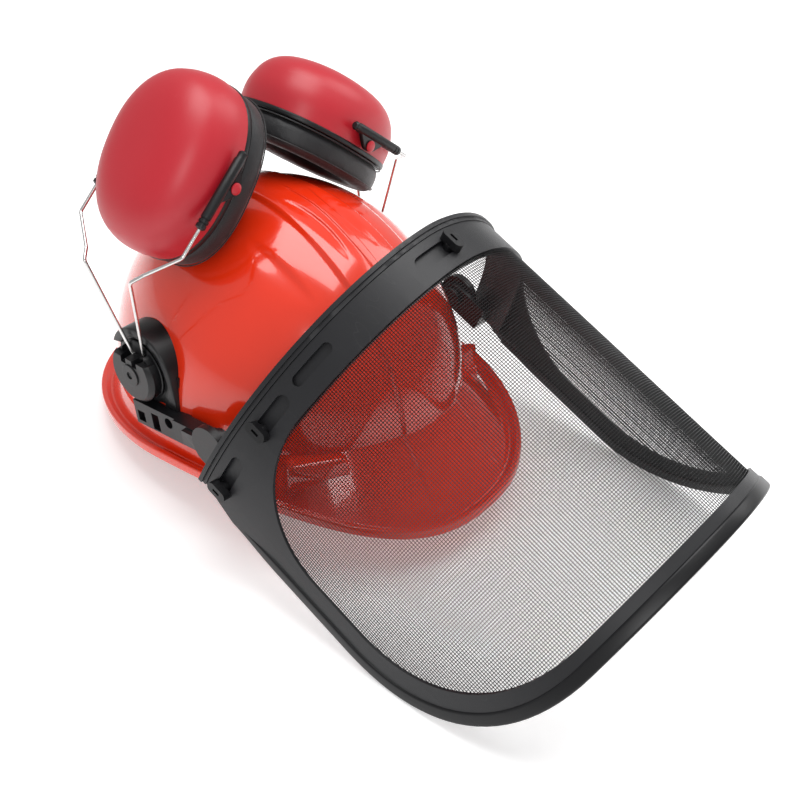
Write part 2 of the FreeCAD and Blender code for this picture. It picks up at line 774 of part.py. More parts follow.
def make_key(side, end):
    """A key that plugs a strap into the shell and hangs the headband."""
    reach = strap_reach(STRAP_ANGLE)
    plate = box(reach - 6.8, reach - 1.0, -9, 9, KEY_LOW, KEY_LOW + KEY_HEIGHT - 2.2)
    hanger = box(reach - 26.0, reach - 6.0, -6, 6, KEY_LOW + 2, KEY_LOW + 6)
    key = fuse(plate, hanger)
    key.rotate(V(0, 0, 0), Z_AXIS, -90.0 * end + side * end * STRAP_ANGLE * -1.0)
    key.translate(V(0, DOME_Y, 0))
    clear_band = Part.Face(band_wire(BAND_HALF_W + BAND_T + 0.02, BAND_HALF_L + BAND_T + 0.02, 0))
    return key.cut(clear_band.extrude(V(0, 0, 60))).cut(dome_shell_zone())


def dome_shell_zone():
    """Everything outside the dome's inner wall, for trimming what sits against it."""
    hollow = ellipsoid(DOME_HALF_W - WALL - 0.3, DOME_HALF_L - WALL - 0.3, DOME_RISE - WALL - 0.3)
    return box(-200, 200, -200, 200, -20, 200).cut(hollow)


def pinion_outline():
    """Straight-flanked teeth on a pitch circle, slimmed for backlash."""
    pitch_r = PINION_TEETH * PINION_MODULE / 2
    tip_r = pitch_r + 0.8 * PINION_MODULE
    root_r = pitch_r - 1.1 * PINION_MODULE
    points = []
    for tooth in range(PINION_TEETH):
        middle = math.tau * tooth / PINION_TEETH
        for radius, half in ((root_r, 0.17), (tip_r, 0.055), (tip_r, -0.055), (root_r, -0.17)):
            turn = middle - half
            points.append(V(radius * math.cos(turn), 0, radius * math.sin(turn)))
    return Part.Face(Part.makePolygon(points + points[:1]))


def make_knob():
    """The adjusting knob, its shaft and its pinion, as one turned piece."""
    face_y = RATCHET_Y + 8.0
    grip = rod(KNOB_R, (0, face_y + 0.3, 0), (0, face_y + 0.3 + KNOB_DEPTH, 0))
    flutes = []
    for i in range(12):
        turn = math.tau * (i + 0.5) / 12
        x = (KNOB_R + 1.2) * math.cos(turn)
        z = (KNOB_R + 1.2) * math.sin(turn)
        flutes.append(rod(2.4, (x, face_y - 1, z), (x, face_y + KNOB_DEPTH + 2, z)))
    shaft = rod(3.5, (0, RATCHET_Y + 5.0, 0), (0, face_y + 1.0, 0))
    pinion = pinion_outline().extrude(V(0, RACK_T, 0))
    pinion.translate(V(0, RATCHET_Y + 2.4, 0))
    knob = fuse(grip.cut(Part.Compound(flutes)), shaft, pinion)
    knob.translate(V(0, 0, KNOB_Z))
    return knob


def make_ratchet_case():
    """The flat case that guides both racks and carries the knob."""
    case = box(-36, 36, RATCHET_Y, RATCHET_Y + 8.0, -14, 14)
    case = case.makeFillet(5.0, [e for e in case.Edges if abs(e.BoundBox.YLength - 8.0) < 0.01])
    slot = box(-40, 40, RATCHET_Y + 2.2, RATCHET_Y + 5.6, -10.6, 10.6)
    bore = rod(3.5 + RUN, (0, RATCHET_Y - 1, 0), (0, RATCHET_Y + 10, 0))
    case = case.cut(slot).cut(bore)
    case.translate(V(0, 0, KNOB_Z))
    return case


def make_rack(side):
    """One toothed tail: the right one runs above the pinion, the left one below."""
    pitch_r = PINION_TEETH * PINION_MODULE / 2
    pitch = math.pi * PINION_MODULE
    rise = 0.8 * PINION_MODULE
    drop = 1.1 * PINION_MODULE
    points = [V(-24.5, 0, pitch_r + drop + 2.3), V(-24.5, 0, pitch_r + drop)]
    for i in range(RACK_TEETH):
        middle = (i - RACK_TEETH / 2 + 0.5) * pitch
        for shift, height in ((-1.0, drop), (-0.3, -rise), (0.3, -rise), (1.0, drop)):
            points.append(V(middle + shift, 0, pitch_r + height))
    points += [V(30.5, 0, pitch_r + drop), V(30.5, 0, pitch_r + drop + 2.3)]
    rack = Part.Face(Part.makePolygon(points + points[:1])).extrude(V(0, RACK_T, 0))
    rack.translate(V(0, RATCHET_Y + 2.4, 0))
    if side < 0:
        rack.rotate(V(0, 0, 0), Y_AXIS, 180.0)
    rack.translate(V(0, 0, KNOB_Z))
    return rack


# ---------------------------------------------------------------- assembly

def visor_place():
    """Local x, y, z are across, out from the pivot line and down the visor."""
    dip = math.radians(VISOR_DIP)
    out = V(0, -math.sin(dip), math.cos(dip))
    down = V(0, -math.cos(dip), -math.sin(dip))
    return placement(V(0, PIVOT_Y, PIVOT_Z), X_AXIS, out, down)


def helmet_nodes():
    """Every named piece in the helmet's own upright frame."""
    nodes = {"shell": make_shell()}
    visor = visor_place()
    nodes["visor_frame"] = moved(make_frame(), visor)
    nodes["visor_mesh"] = moved(make_mesh(), visor)
    nodes["visor_edge_trim"] = moved(make_trim(), visor)
    nodes["brow_bracket"] = moved(make_bracket(), visor)
    nodes["bracket_lugs"] = moved(make_lugs(), visor)
    for side, name in SIDES.items():
        nodes["visor_strut_" + name] = moved(make_strut(side), visor)
        nodes["visor_pivot_pin_" + name] = make_pivot_pin(side)
        nodes["side_adapter_" + name] = make_hub_base(side)
        nodes["hub_screw_" + name] = make_hub_screw(side)
        nodes["hub_cap_" + name] = make_hub_cap(side)
        arm = arm_place(side)
        sliders = arm.multiply(slider_place(side))
        cup = arm.multiply(cup_place(side))
        nodes["wire_yoke_" + name] = moved(make_yoke(), arm)
        front = side * -1
        nodes["front_slider_" + name] = moved(make_slider(front), sliders)
        nodes["rear_slider_" + name] = moved(make_slider(-front), sliders)
        nodes["cup_pins_" + name] = moved(make_cup_pins(), sliders)
        nodes["ear_cup_" + name] = moved(make_cup(), cup)
        nodes["cup_plate_" + name] = moved(make_cup_plate(), cup)
        nodes["ear_cushion_" + name] = moved(make_cushion(), cup)
        nodes["cup_foam_" + name] = moved(make_foam(), cup)
        nodes["size_rack_" + name] = make_rack(side)
        nodes["front_strap_key_" + name] = make_key(side, 1)
        nodes["rear_strap_key_" + name] = make_key(side, -1)
        nodes["crown_strap_from_" + name] = make_strap(side)
    nodes["headband"] = make_headband()
    nodes["sweatband"] = make_sweatband()
    nodes["nape_pad"] = make_nape_pad()
    nodes["ratchet_case"] = make_ratchet_case()
    nodes["size_knob"] = make_knob()
    return nodes


def table_placement(nodes):
    """Tip the helmet back and set its box on the origin, middle of the footprint."""
    tip = FreeCAD.Placement(V(0, 0, 0), FreeCAD.Rotation(X_AXIS, -TIP))
    whole = FreeCAD.BoundBox()
    for shape in nodes.values():
        whole.add(moved(shape, tip).optimalBoundingBox(True, False))
    shift = V(-whole.Center.x, -whole.Center.y, -whole.ZMin)
    return FreeCAD.Placement(shift, FreeCAD.Rotation(X_AXIS, -TIP))


def main():
    os.makedirs("parts", exist_ok=True)
    nodes = helmet_nodes()
    table = table_placement(nodes)
    for name, shape in nodes.items():
        moved(shape, table).exportStep("parts/" + name + ".step")
    return nodes, table


if __name__ == "__main__":
    main()
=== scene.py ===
"""Looks of a safety helmet with a mesh visor and parked ear muffs.

Lengths are in millimetres in the helmet's own upright frame (+X the wearer's
left, -Y the front, +Z up from the rim) or in a sub-part's local frame, and
each frame's matrix turns them into metres on the table.
"""
import bpy
import bmesh
import json
import math
from mathutils import Matrix, Vector, noise


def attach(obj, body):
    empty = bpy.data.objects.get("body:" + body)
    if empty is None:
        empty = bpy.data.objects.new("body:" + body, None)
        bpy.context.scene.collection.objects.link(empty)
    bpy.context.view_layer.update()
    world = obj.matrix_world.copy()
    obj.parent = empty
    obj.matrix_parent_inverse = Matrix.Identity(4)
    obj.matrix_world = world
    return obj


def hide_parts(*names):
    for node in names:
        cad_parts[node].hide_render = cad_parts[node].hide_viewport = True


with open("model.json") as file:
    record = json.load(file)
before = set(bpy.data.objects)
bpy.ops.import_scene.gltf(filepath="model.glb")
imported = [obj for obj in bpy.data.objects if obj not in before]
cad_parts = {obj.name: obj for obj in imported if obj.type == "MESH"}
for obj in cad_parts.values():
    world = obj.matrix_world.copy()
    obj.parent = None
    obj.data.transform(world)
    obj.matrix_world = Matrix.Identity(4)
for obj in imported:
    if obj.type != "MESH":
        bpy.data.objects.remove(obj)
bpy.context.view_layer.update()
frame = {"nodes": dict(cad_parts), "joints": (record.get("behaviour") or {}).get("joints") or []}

# ------------------------------------------------------------ dimensions

TIP = math.radians(10.44)
DOME_HALF_W = 99.6
DOME_HALF_L = 121.4
DOME_RISE = 123.3
DOME_Y = -6.7
DOME_BASE_Z = 12.0
WALL = 2.6
RIM_HALF_W = 108.8
RIM_REAR = 136.2
PEAK_REACH = 165.6
PEAK_DROP = 33.8
RIM_Z = 1.1
PEAK_ROUND = 2.38
LIP_RISE = 2.2
LIP_INNER = 3.4
LIP_ROUND = 0.4
BRIM_BEND = 1.4
GUTTER_W = 7.0
GUTTER_DROP = 1.5
DOME_FOOT = 2.0
CREST_RISE = 2.2
CREST_HALF = 15.4
KEEL_RISE = 0.8
SCOOP_REAR = -34.0
INNER_SCOOP_DEPTH = 1.1
INNER_SCOOP_X = 10.6
OUTER_SCOOP_DEPTH = 1.5
OUTER_SCOOP_X = 39.4

PIVOT = Vector((0.0, -61.0, 30.0))
VISOR_DIP = math.radians(30.8)
VISOR_HALF_W = 123.2
VISOR_DEPTH = 145.0
VISOR_TAIL = -16.2
VISOR_ROUND = 1.77
VISOR_TOP = 13.6
VISOR_LENGTH = 222.9
CORNER_R = 91.2
FRAME_T = 1.6
MESH_T = 0.5
TRIM_W = 6.0
TRIM_PROUD = 0.9
TRIM_ROUND = 1.5
TRIM_LAP = 1.5
BEAD_START = 40.0
BEAD_TAPER = 34.0
BEAD_SLIM = 0.45
MESH_PITCH = 1.5
MESH_WIRE_R = 0.21
MESH_LAYER = 0.10
MESH_INSET = 4.0

WIRE_R = 1.05
WIRE_ROUTE = (
    (5.0, 9.5, -6.5),
    (19.9, 67.8, 14.0),
    (25.0, 72.5, 8.8),
    (43.6, 85.7, -1.4),
)
WIRE_TURN_IN = math.radians(39.6)
WIRE_STRAIGHT = 50.0
TUBE_LENGTH = 47.0
TUBE_R = 2.9
TUBE_OFF = 6.3
PIN_SET = 28.5
CUP_ROCK = {"right": math.radians(10.0), "left": math.radians(1.0)}
CUP_HALF_W = 39.2
CUP_HALF_H = 51.5
CUP_DEPTH = 34.0
CUP_BASE = -3.0
PLATE_T = 3.0
CUSHION_T = 17.6
OVAL_POWER = 2.4
CAP_LEAN = math.radians(5.0)
CAP_R = 18.3
CAP_FLANGE_R = 19.0
CHEEK_INNER_R = 20.4
CHEEK_OUTER_R = 26.4
SWELL_PRESSURE = 4.0
SWELL_STEPS = 20
SIDES = {"right": -1, "left": 1}

# ------------------------------------------------------------ frames

MM = 0.001
JOINTS = {joint["name"]: joint for joint in frame["joints"]}


def axes(origin, first, second, third):
    """A frame's matrix from its origin and its three directions."""
    matrix = Matrix.Identity(4)
    for column, vector in enumerate((first, second, third, origin)):
        matrix[0][column], matrix[1][column], matrix[2][column] = vector
    return matrix


def joint_place(name):
    return Vector(JOINTS[name]["pos_m"]) / MM


TILT = Matrix.Rotation(-TIP, 4, "X")
SCALE = Matrix.Scale(MM, 4)
HELMET = SCALE @ Matrix.Translation(joint_place("visor_tilt") - TILT @ PIVOT) @ TILT
VISOR = HELMET @ axes(
    PIVOT,
    Vector((1, 0, 0)),
    Vector((0, -math.sin(VISOR_DIP), math.cos(VISOR_DIP))),
    Vector((0, -math.cos(VISOR_DIP), -math.sin(VISOR_DIP))),
)


def slider_frame(side):
    """Local x, y, z are the rivets' line, the tubes' direction and outward."""
    first = Vector(JOINTS["cup_rock_" + side]["axis"])
    second = Vector(JOINTS["cup_slide_" + side]["axis"])
    return SCALE @ axes(joint_place("cup_rock_" + side), first, second, first.cross(second))


def arm_frame(side):
    """Local x, y, z are across the yoke, up the arm and outward, at the hub."""
    first = Vector(JOINTS["cup_rock_" + side]["axis"])
    tube = Vector(JOINTS["cup_slide_" + side]["axis"])
    third = first.cross(tube)
    along = math.cos(WIRE_TURN_IN) * tube + math.sin(WIRE_TURN_IN) * third
    return SCALE @ axes(joint_place("hub_turn_" + side), first, along, first.cross(along))


def cup_frame(side):
    return slider_frame(side) @ Matrix.Rotation(CUP_ROCK[side], 4, "X")


# ------------------------------------------------------------ mesh helpers

def in_scene(name, data):
    """A new object in the scene."""
    thing = bpy.data.objects.new(name, data)
    bpy.context.scene.collection.objects.link(thing)
    return thing


def smooth_step(low, high, value):
    """0 at low, 1 at high, with a gentle start and end. Low may be the greater."""
    t = min(max((value - low) / (high - low), 0.0), 1.0)
    return t * t * (3.0 - 2.0 * t)


def shade_by_angle(mesh, degrees):
    """Smooth faces with sharp edges where the surface turns by more than an angle."""
    mesh.polygons.foreach_set("use_smooth", [True] * len(mesh.polygons))
    mesh.set_sharp_from_angle(angle=math.radians(degrees))


def piece_from(name, place, points, faces, material, body, sharp=40.0):
    """A piece whose points are in a local frame."""
    mesh = bpy.data.meshes.new(name)
    mesh.from_pydata([place @ Vector(p) for p in points], [], faces)
    mesh.validate()
    tidy = bmesh.new()
    tidy.from_mesh(mesh)
    bmesh.ops.recalc_face_normals(tidy, faces=tidy.faces)
    tidy.to_mesh(mesh)
    tidy.free()
    shade_by_angle(mesh, sharp)
    piece = in_scene(name, mesh)
    mesh.materials.append(material)
    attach(piece, body)
    return piece


class Skin:
    """Points and faces gathered from lofts, tubes and turned forms."""

    def __init__(self):
        self.points = []
        self.faces = []

    def loft(self, rings, around=True, start_cap=False, end_cap=False, join_ends=False):
        """A surface from ring to ring. Every ring has the same number of points."""
        base = len(self.points)
        count = len(rings[0])
        for ring in rings:
            self.points.extend(ring)
        last = count if around else count - 1
        pairs = len(rings) if join_ends else len(rings) - 1
        for r in range(pairs):
            low = base + r * count
            high = base + ((r + 1) % len(rings)) * count
            for i in range(last):
                j = (i + 1) % count
                self.faces.append((low + i, low + j, high + j, high + i))
        if start_cap:
            self.faces.append(tuple(base + i for i in reversed(range(count))))
        if end_cap:
            top = base + (len(rings) - 1) * count
            self.faces.append(tuple(top + i for i in range(count)))

    def turned(self, origin, axis, profile, steps=32):
        """A turned form. The profile is (height along the axis, radius) pairs."""
        axis = Vector(axis).normalized()
        across = axis.orthogonal().normalized()
        other = axis.cross(across)
        rings = []
        for height, radius in profile:
            ring = []
            for i in range(steps):
                turn = math.tau * i / steps
                spoke = across * math.cos(turn) + other * math.sin(turn)
                ring.append(Vector(origin) + axis * height + spoke * max(radius, 0.01))
            rings.append(ring)
        self.loft(rings, start_cap=True, end_cap=True)

    def tube(self, path, radius, sides=12, closed=False, radius_at=None):
        """A round tube along a path, with its ring turned as little as it can be."""
        count = len(path)
        rings = []
        across = None
        for i, point in enumerate(path):
            before = path[i - 1] if (i or closed) else path[0]
            after = path[(i + 1) % count] if (i + 1 < count or closed) else path[-1]
            way = (Vector(after) - Vector(before)).normalized()
            if across is None:
                across = way.orthogonal().normalized()
            across = (across - way * across.dot(way)).normalized()
            other = way.cross(across)
            reach = radius_at(i / (count - 1)) if radius_at else radius
            rings.append([Vector(point) + reach * (across * math.cos(math.tau * k / sides)
                                                   + other * math.sin(math.tau * k / sides))
                          for k in range(sides)])
        self.loft(rings, start_cap=not closed, end_cap=not closed, join_ends=closed)

    def piece(self, name, place, material, body, slot, sharp=40.0):
        return piece_from(name, place, self.points, self.faces, material, body, sharp)


def bent(points, radius, steps=6):
    """A polyline with its corners turned into curves of about a radius."""
    points = [Vector(p) for p in points]
    path = [points[0]]
    for before, corner, after in zip(points, points[1:], points[2:]):
        back = before - corner
        on = after - corner
        half = back.angle(on) / 2
        reach = min(radius / math.tan(half), 0.45 * back.length, 0.45 * on.length)
        start = corner + back.normalized() * reach
        end = corner + on.normalized() * reach
        for i in range(steps + 1):
            t = i / steps
            path.append(start * (1 - t) ** 2 + corner * 2 * t * (1 - t) + end * t ** 2)
    path.append(points[-1])
    return path


def superellipse(half_w, half_h, power, steps):
    ring = []
    for i in range(steps):
        turn = math.tau * i / steps
        c = math.cos(turn)
        s = math.sin(turn)
        ring.append((half_w * math.copysign(abs(c) ** (2 / power), c),
                     half_h * math.copysign(abs(s) ** (2 / power), s)))
    return ring


def rounded_profile(corners, radius, steps=4):
    """A closed outline in two dimensions with rounded corners."""
    points = [Vector((x, y, 0)) for x, y in corners]
    path = []
    for i, corner in enumerate(points):
        back = points[i - 1] - corner
        on = points[(i + 1) % len(points)] - corner
        reach = min(radius, 0.45 * back.length, 0.45 * on.length)
        start = corner + back.normalized() * reach
        end = corner + on.normalized() * reach
        for k in range(steps + 1):
            t = k / steps
            point = start * (1 - t) ** 2 + corner * 2 * t * (1 - t) + end * t ** 2
            path.append((point.x, point.y))
    return path


def node_mesh(node, material):
    """A copy of a CAD node's own mesh, where it stands and in one material."""
    source = frame["nodes"][node]
    mesh = source.data.copy()
    mesh.transform(source.matrix_world)
    mesh.materials.clear()
    mesh.materials.append(material)
    return mesh


def finished_copy(node, material, body, softening):
    """A moulded piece with the CAD node's own shape and small rounds on its edges."""
    sharp = 32.0
    mesh = node_mesh(node, material)
    mesh.name = node + "_moulded"
    tidy = bmesh.new()
    tidy.from_mesh(mesh)
    bmesh.ops.remove_doubles(tidy, verts=tidy.verts, dist=0.00002)
    bmesh.ops.dissolve_limit(tidy, angle_limit=math.radians(1.0),
                             verts=tidy.verts, edges=tidy.edges)
    tidy.to_mesh(mesh)
    tidy.free()
    shade_by_angle(mesh, sharp)
    piece = in_scene(node + "_moulded", mesh)
    rounds = piece.modifiers.new("Softened edges", "BEVEL")
    rounds.width = softening * MM
    rounds.segments = 2
    rounds.limit_method = "ANGLE"
    rounds.angle_limit = math.radians(sharp)
    rounds.harden_normals = True
    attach(piece, body)
    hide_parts(node)


# ------------------------------------------------------------ shared effects

def new_group(name, inputs, outputs):
    """A shader node group with named number inputs and outputs."""
    group = bpy.data.node_groups.new(name, "ShaderNodeTree")
    for label, value in inputs:
        socket = group.interface.new_socket(label, in_out="INPUT", socket_type="NodeSocketFloat")
        socket.default_value = value
    for label in outputs:
        group.interface.new_socket(label, in_out="OUTPUT", socket_type="NodeSocketFloat")
    return group, group.nodes.new("NodeGroupInput"), group.nodes.new("NodeGroupOutput")


def add_node(tree, kind, **values):
    node = tree.nodes.new(kind)
    for key, value in values.items():
        setattr(node, key, value)
    return node


def set_inputs(node, **values):
    for label, value in values.items():
        node.inputs[label.replace("_", " ")].default_value = value


def math_node(tree, operation, first, second):
    """A math node fed by sockets or plain numbers."""
    node = add_node(tree, "ShaderNodeMath", operation=operation)
    for socket, value in zip(node.inputs, (first, second)):
        if isinstance(value, (int, float)):
            socket.default_value = value
        else:
            tree.links.new(value, socket)
    return node.outputs[0]


def grain_group():
    """Moulding grain: a fine height and a slow drift, both from noise in object space."""
    inputs = (("Grain scale", 2500.0), ("Drift scale", 25.0))
    group, given, out = new_group("Moulding grain", inputs, ("Height", "Drift"))
    place = group.nodes.new("ShaderNodeTexCoord")
    for scale, label, detail, roughness in (("Grain scale", "Height", 3.0, 0.6),
                                            ("Drift scale", "Drift", 4.0, 0.55)):
        cloud = add_node(group, "ShaderNodeTexNoise")
        set_inputs(cloud, Detail=detail, Roughness=roughness)
        group.links.new(place.outputs["Object"], cloud.inputs["Vector"])
        group.links.new(given.outputs[scale], cloud.inputs["Scale"])
        group.links.new(cloud.outputs["Fac"], out.inputs[label])
    return group


def scuff_group():
    """A mask of hairline scuffs, where stretched noise crosses its middle."""
    inputs = (("Scale", 60.0), ("Width", 0.012))
    group, given, out = new_group("Hairline scuffs", inputs, ("Mask",))
    place = group.nodes.new("ShaderNodeTexCoord")
    stretch = add_node(group, "ShaderNodeMapping")
    stretch.inputs["Rotation"].default_value = (0.4, 0.2, 0.7)
    stretch.inputs["Scale"].default_value = (1.0, 0.12, 0.5)
    lines = add_node(group, "ShaderNodeTexNoise")
    set_inputs(lines, Detail=1.0)
    group.links.new(place.outputs["Object"], stretch.inputs["Vector"])
    group.links.new(stretch.outputs["Vector"], lines.inputs["Vector"])
    group.links.new(given.outputs["Scale"], lines.inputs["Scale"])
    away = math_node(group, "SUBTRACT", lines.outputs["Fac"], 0.5)
    away = math_node(group, "ABSOLUTE", away, 0.0)
    near = math_node(group, "LESS_THAN", away, 0.0)
    group.links.new(given.outputs["Width"], near.node.inputs[1])
    patches = add_node(group, "ShaderNodeTexNoise")
    set_inputs(patches, Scale=18.0, Detail=2.0)
    group.links.new(place.outputs["Object"], patches.inputs["Vector"])
    some = math_node(group, "GREATER_THAN", patches.outputs["Fac"], 0.58)
    group.links.new(math_node(group, "MULTIPLY", near, some), out.inputs["Mask"])
    return group


def weave_group():
    """A plain weave: height of crossing threads from two bands of waves."""
    group, given, out = new_group("Plain weave", (("Threads", 900.0),), ("Height", "Thread"))
    place = group.nodes.new("ShaderNodeTexCoord")
    split = group.nodes.new("ShaderNodeSeparateXYZ")
    group.links.new(place.outputs["Object"], split.inputs["Vector"])
    side = math_node(group, "ADD", split.outputs["X"], split.outputs["Z"])
    other = math_node(group, "SUBTRACT", split.outputs["Y"], split.outputs["Z"])
    waves = []
    for way in (side, other):
        scaled = math_node(group, "MULTIPLY", way, 1.0)
        group.links.new(given.outputs["Threads"], scaled.node.inputs[1])
        waves.append(math_node(group, "SINE", scaled, 0.0))
    product = math_node(group, "MULTIPLY", waves[0], waves[1])
    group.links.new(product, out.inputs["Height"])
    group.links.new(math_node(group, "MULTIPLY_ADD", product, 0.5), out.inputs["Thread"])
    return group


GRAIN = grain_group()
SCUFFS = scuff_group()
WEAVE = weave_group()


def use_group(tree, group, **values):
    node = add_node(tree, "ShaderNodeGroup", node_tree=group)
    set_inputs(node, **values)
    return node


class Finish:
    """A material in the making: one Principled shader and the effects that feed it."""

    def __init__(self, name, colour, roughness):
        self.material = bpy.data.materials.new(name)
        self.material.use_nodes = True
        self.tree = self.material.node_tree
        self.shader = self.tree.nodes["Principled BSDF"]
        self.shader.inputs["Base Color"].default_value = (*colour, 1.0)
        self.shader.inputs["Roughness"].default_value = roughness

    def set(self, **values):
        set_inputs(self.shader, **values)
        return self

    def link(self, output, label):
        self.tree.links.new(output, self.shader.inputs[label])

    def cells(self, scale):
        """Distances to the edges of cells in object space."""
        place = add_node(self.tree, "ShaderNodeTexCoord")
        cells = add_node(self.tree, "ShaderNodeTexVoronoi", feature="DISTANCE_TO_EDGE")
        set_inputs(cells, Scale=scale)
        self.tree.links.new(place.outputs["Object"], cells.inputs["Vector"])
        return cells.outputs["Distance"]

    def ramp(self, mask, low, high):
        """A value that runs from low to high as a mask goes from 0 to 1."""
        node = add_node(self.tree, "ShaderNodeMapRange")
        set_inputs(node, To_Min=low, To_Max=high)
        self.tree.links.new(mask, node.inputs["Value"])
        return node.outputs["Result"]

    def mixed(self, mask, first, second):
        """A colour between two, by a mask."""
        node = add_node(self.tree, "ShaderNodeMix", data_type="RGBA")
        for socket, colour in ((node.inputs[6], first), (node.inputs[7], second)):
            if isinstance(colour, tuple):
                socket.default_value = (*colour, 1.0)
            else:
                self.tree.links.new(colour, socket)
        self.tree.links.new(mask, node.inputs[0])
        return node.outputs[2]

    def bump(self, height, strength, distance):
        node = add_node(self.tree, "ShaderNodeBump")
        set_inputs(node, Strength=strength, Distance=distance)
        self.tree.links.new(height, node.inputs["Height"])
        self.link(node.outputs["Normal"], "Normal")


def shade(colour, factor):
    return tuple(min(c * factor, 1.0) for c in colour)


def moulded_plastic(name, colour, roughness, grain_scale, bump, drift=0.12, spread=0.06):
    """Plastic with moulding grain, slow colour drift and faint scuffs."""
    finish = Finish(name, colour, roughness)
    grain = use_group(finish.tree, GRAIN, Grain_scale=grain_scale, Drift_scale=22.0)
    scuffs = use_group(finish.tree, SCUFFS, Scale=110.0, Width=0.0022)
    slow = grain.outputs["Drift"]
    base = finish.mixed(slow, shade(colour, 1 - drift), shade(colour, 1 + drift))
    light = tuple(c + 0.008 * (1 - c) for c in colour)
    finish.link(finish.mixed(scuffs.outputs["Mask"], base, light), "Base Color")
    rough = finish.ramp(slow, roughness - spread, roughness + spread)
    scuffed = math_node(finish.tree, "MULTIPLY", scuffs.outputs["Mask"], 0.05)
    finish.link(math_node(finish.tree, "ADD", rough, scuffed), "Roughness")
    finish.bump(grain.outputs["Height"], bump, 0.0004)
    return finish


def shell_orange():
    finish = moulded_plastic("Glossy orange-red shell", (0.82, 0.032, 0.006), 0.16, 260.0, 0.03,
                             drift=0.05, spread=0.025)
    return finish.set(Coat_Weight=0.7, Coat_Roughness=0.035, Specular_IOR_Level=0.5)


def cup_red():
    finish = moulded_plastic("Satin crimson cup", (0.50, 0.012, 0.024), 0.40, 1800.0, 0.10,
                             drift=0.05, spread=0.03)
    return finish.set(Specular_IOR_Level=0.6)


def black_plastic():
    finish = moulded_plastic("Satin black moulding", (0.007, 0.007, 0.008), 0.34, 2200.0, 0.18)
    return finish.set(Specular_IOR_Level=0.4)


def frame_black():
    finish = moulded_plastic("Satin black visor frame", (0.012, 0.012, 0.014), 0.40, 2600.0, 0.22)
    return finish.set(Specular_IOR_Level=0.42)


def trim_black():
    finish = moulded_plastic("Black edge bead", (0.005, 0.005, 0.006), 0.36, 1200.0, 0.1)
    return finish.set(Specular_IOR_Level=0.35)


def harness_plastic():
    return moulded_plastic("Black harness moulding", (0.022, 0.022, 0.024), 0.45, 1900.0, 0.2)


def mesh_black():
    finish = moulded_plastic("Coated black mesh", (0.010, 0.010, 0.011), 0.45, 3000.0, 0.1)
    return finish.set(Specular_IOR_Level=0.35)


def spring_steel():
    finish = Finish("Drawn spring steel", (0.74, 0.73, 0.72), 0.2)
    grain = use_group(finish.tree, GRAIN, Grain_scale=4000.0, Drift_scale=120.0)
    drift = grain.outputs["Drift"]
    finish.link(finish.mixed(drift, (0.62, 0.61, 0.60), (0.82, 0.81, 0.80)), "Base Color")
    finish.link(finish.ramp(drift, 0.12, 0.30), "Roughness")
    finish.bump(grain.outputs["Height"], 0.08, 0.0003)
    return finish.set(Metallic=1.0)


def leatherette():
    """Soft black cover: pebbled grain from cells, worn a little smoother in patches."""
    finish = Finish("Black leatherette", (0.012, 0.012, 0.013), 0.5)
    pebbles = finish.cells(1100.0)
    grain = use_group(finish.tree, GRAIN, Grain_scale=900.0, Drift_scale=60.0)
    drift = grain.outputs["Drift"]
    finish.link(finish.mixed(drift, (0.009, 0.009, 0.010), (0.019, 0.018, 0.020)), "Base Color")
    finish.link(finish.ramp(drift, 0.38, 0.58), "Roughness")
    height = math_node(finish.tree, "ADD", pebbles, grain.outputs["Height"])
    finish.bump(height, 0.35, 0.0004)
    return finish.set(Sheen_Weight=0.15, Sheen_Roughness=0.4)


def damping_foam():
    """Open-cell foam: painted shade darkens the pores between lighter walls."""
    finish = Finish("Dark damping foam", (0.014, 0.014, 0.015), 0.9)
    pore_depth_and_shade = finish.ramp(finish.cells(700.0), 1.0, 0.0)
    # painted shade: the colour is darker in the pore hollows than on the cell walls; the same mask
    # drives the bump
    finish.link(finish.mixed(pore_depth_and_shade, (0.006, 0.006, 0.007), (0.022, 0.022, 0.024)), "Base Color")
    grain = use_group(finish.tree, GRAIN, Grain_scale=1500.0, Drift_scale=80.0)
    finish.link(finish.ramp(grain.outputs["Drift"], 0.82, 0.95), "Roughness")
    finish.bump(pore_depth_and_shade, 0.6, 0.0008)
    return finish


def woven(name, colour, threads):
    """Woven cloth: painted shade in the gaps between threads and painted light on the thread tops,
    with a matt drift.
    """
    roughness = 0.8
    finish = Finish(name, colour, roughness)
    weave = use_group(finish.tree, WEAVE, Threads=threads)
    grain = use_group(finish.tree, GRAIN, Grain_scale=1400.0, Drift_scale=60.0)
    weave_shade_mask = finish.ramp(weave.outputs["Height"], 0.0, 1.0)
    # painted shade and light: the colour darkens in the weave's gaps and lightens on the thread
    # tops
    finish.link(finish.mixed(weave_shade_mask, shade(colour, 0.55), shade(colour, 1.5)), "Base Color")
    drift = grain.outputs["Drift"]
    finish.link(finish.ramp(drift, roughness - 0.08, roughness + 0.08), "Roughness")
    height = math_node(finish.tree, "ADD", weave.outputs["Height"], grain.outputs["Height"])
    finish.bump(height, 0.5, 0.0005)
    return finish.set(Sheen_Weight=0.3, Sheen_Roughness=0.5)


def floor_white():
    finish = Finish("Pale studio floor", (0.93, 0.93, 0.93), 0.55)
    grain = use_group(finish.tree, GRAIN, Grain_scale=400.0, Drift_scale=3.0)
    drift = grain.outputs["Drift"]
    finish.link(finish.mixed(drift, (0.92, 0.92, 0.92), (0.94, 0.94, 0.94)), "Base Color")
    finish.shader.inputs["Emission Color"].default_value = (1.0, 1.0, 1.0, 1.0)
    return finish.set(Specular_IOR_Level=0.2, Emission_Strength=0.34)


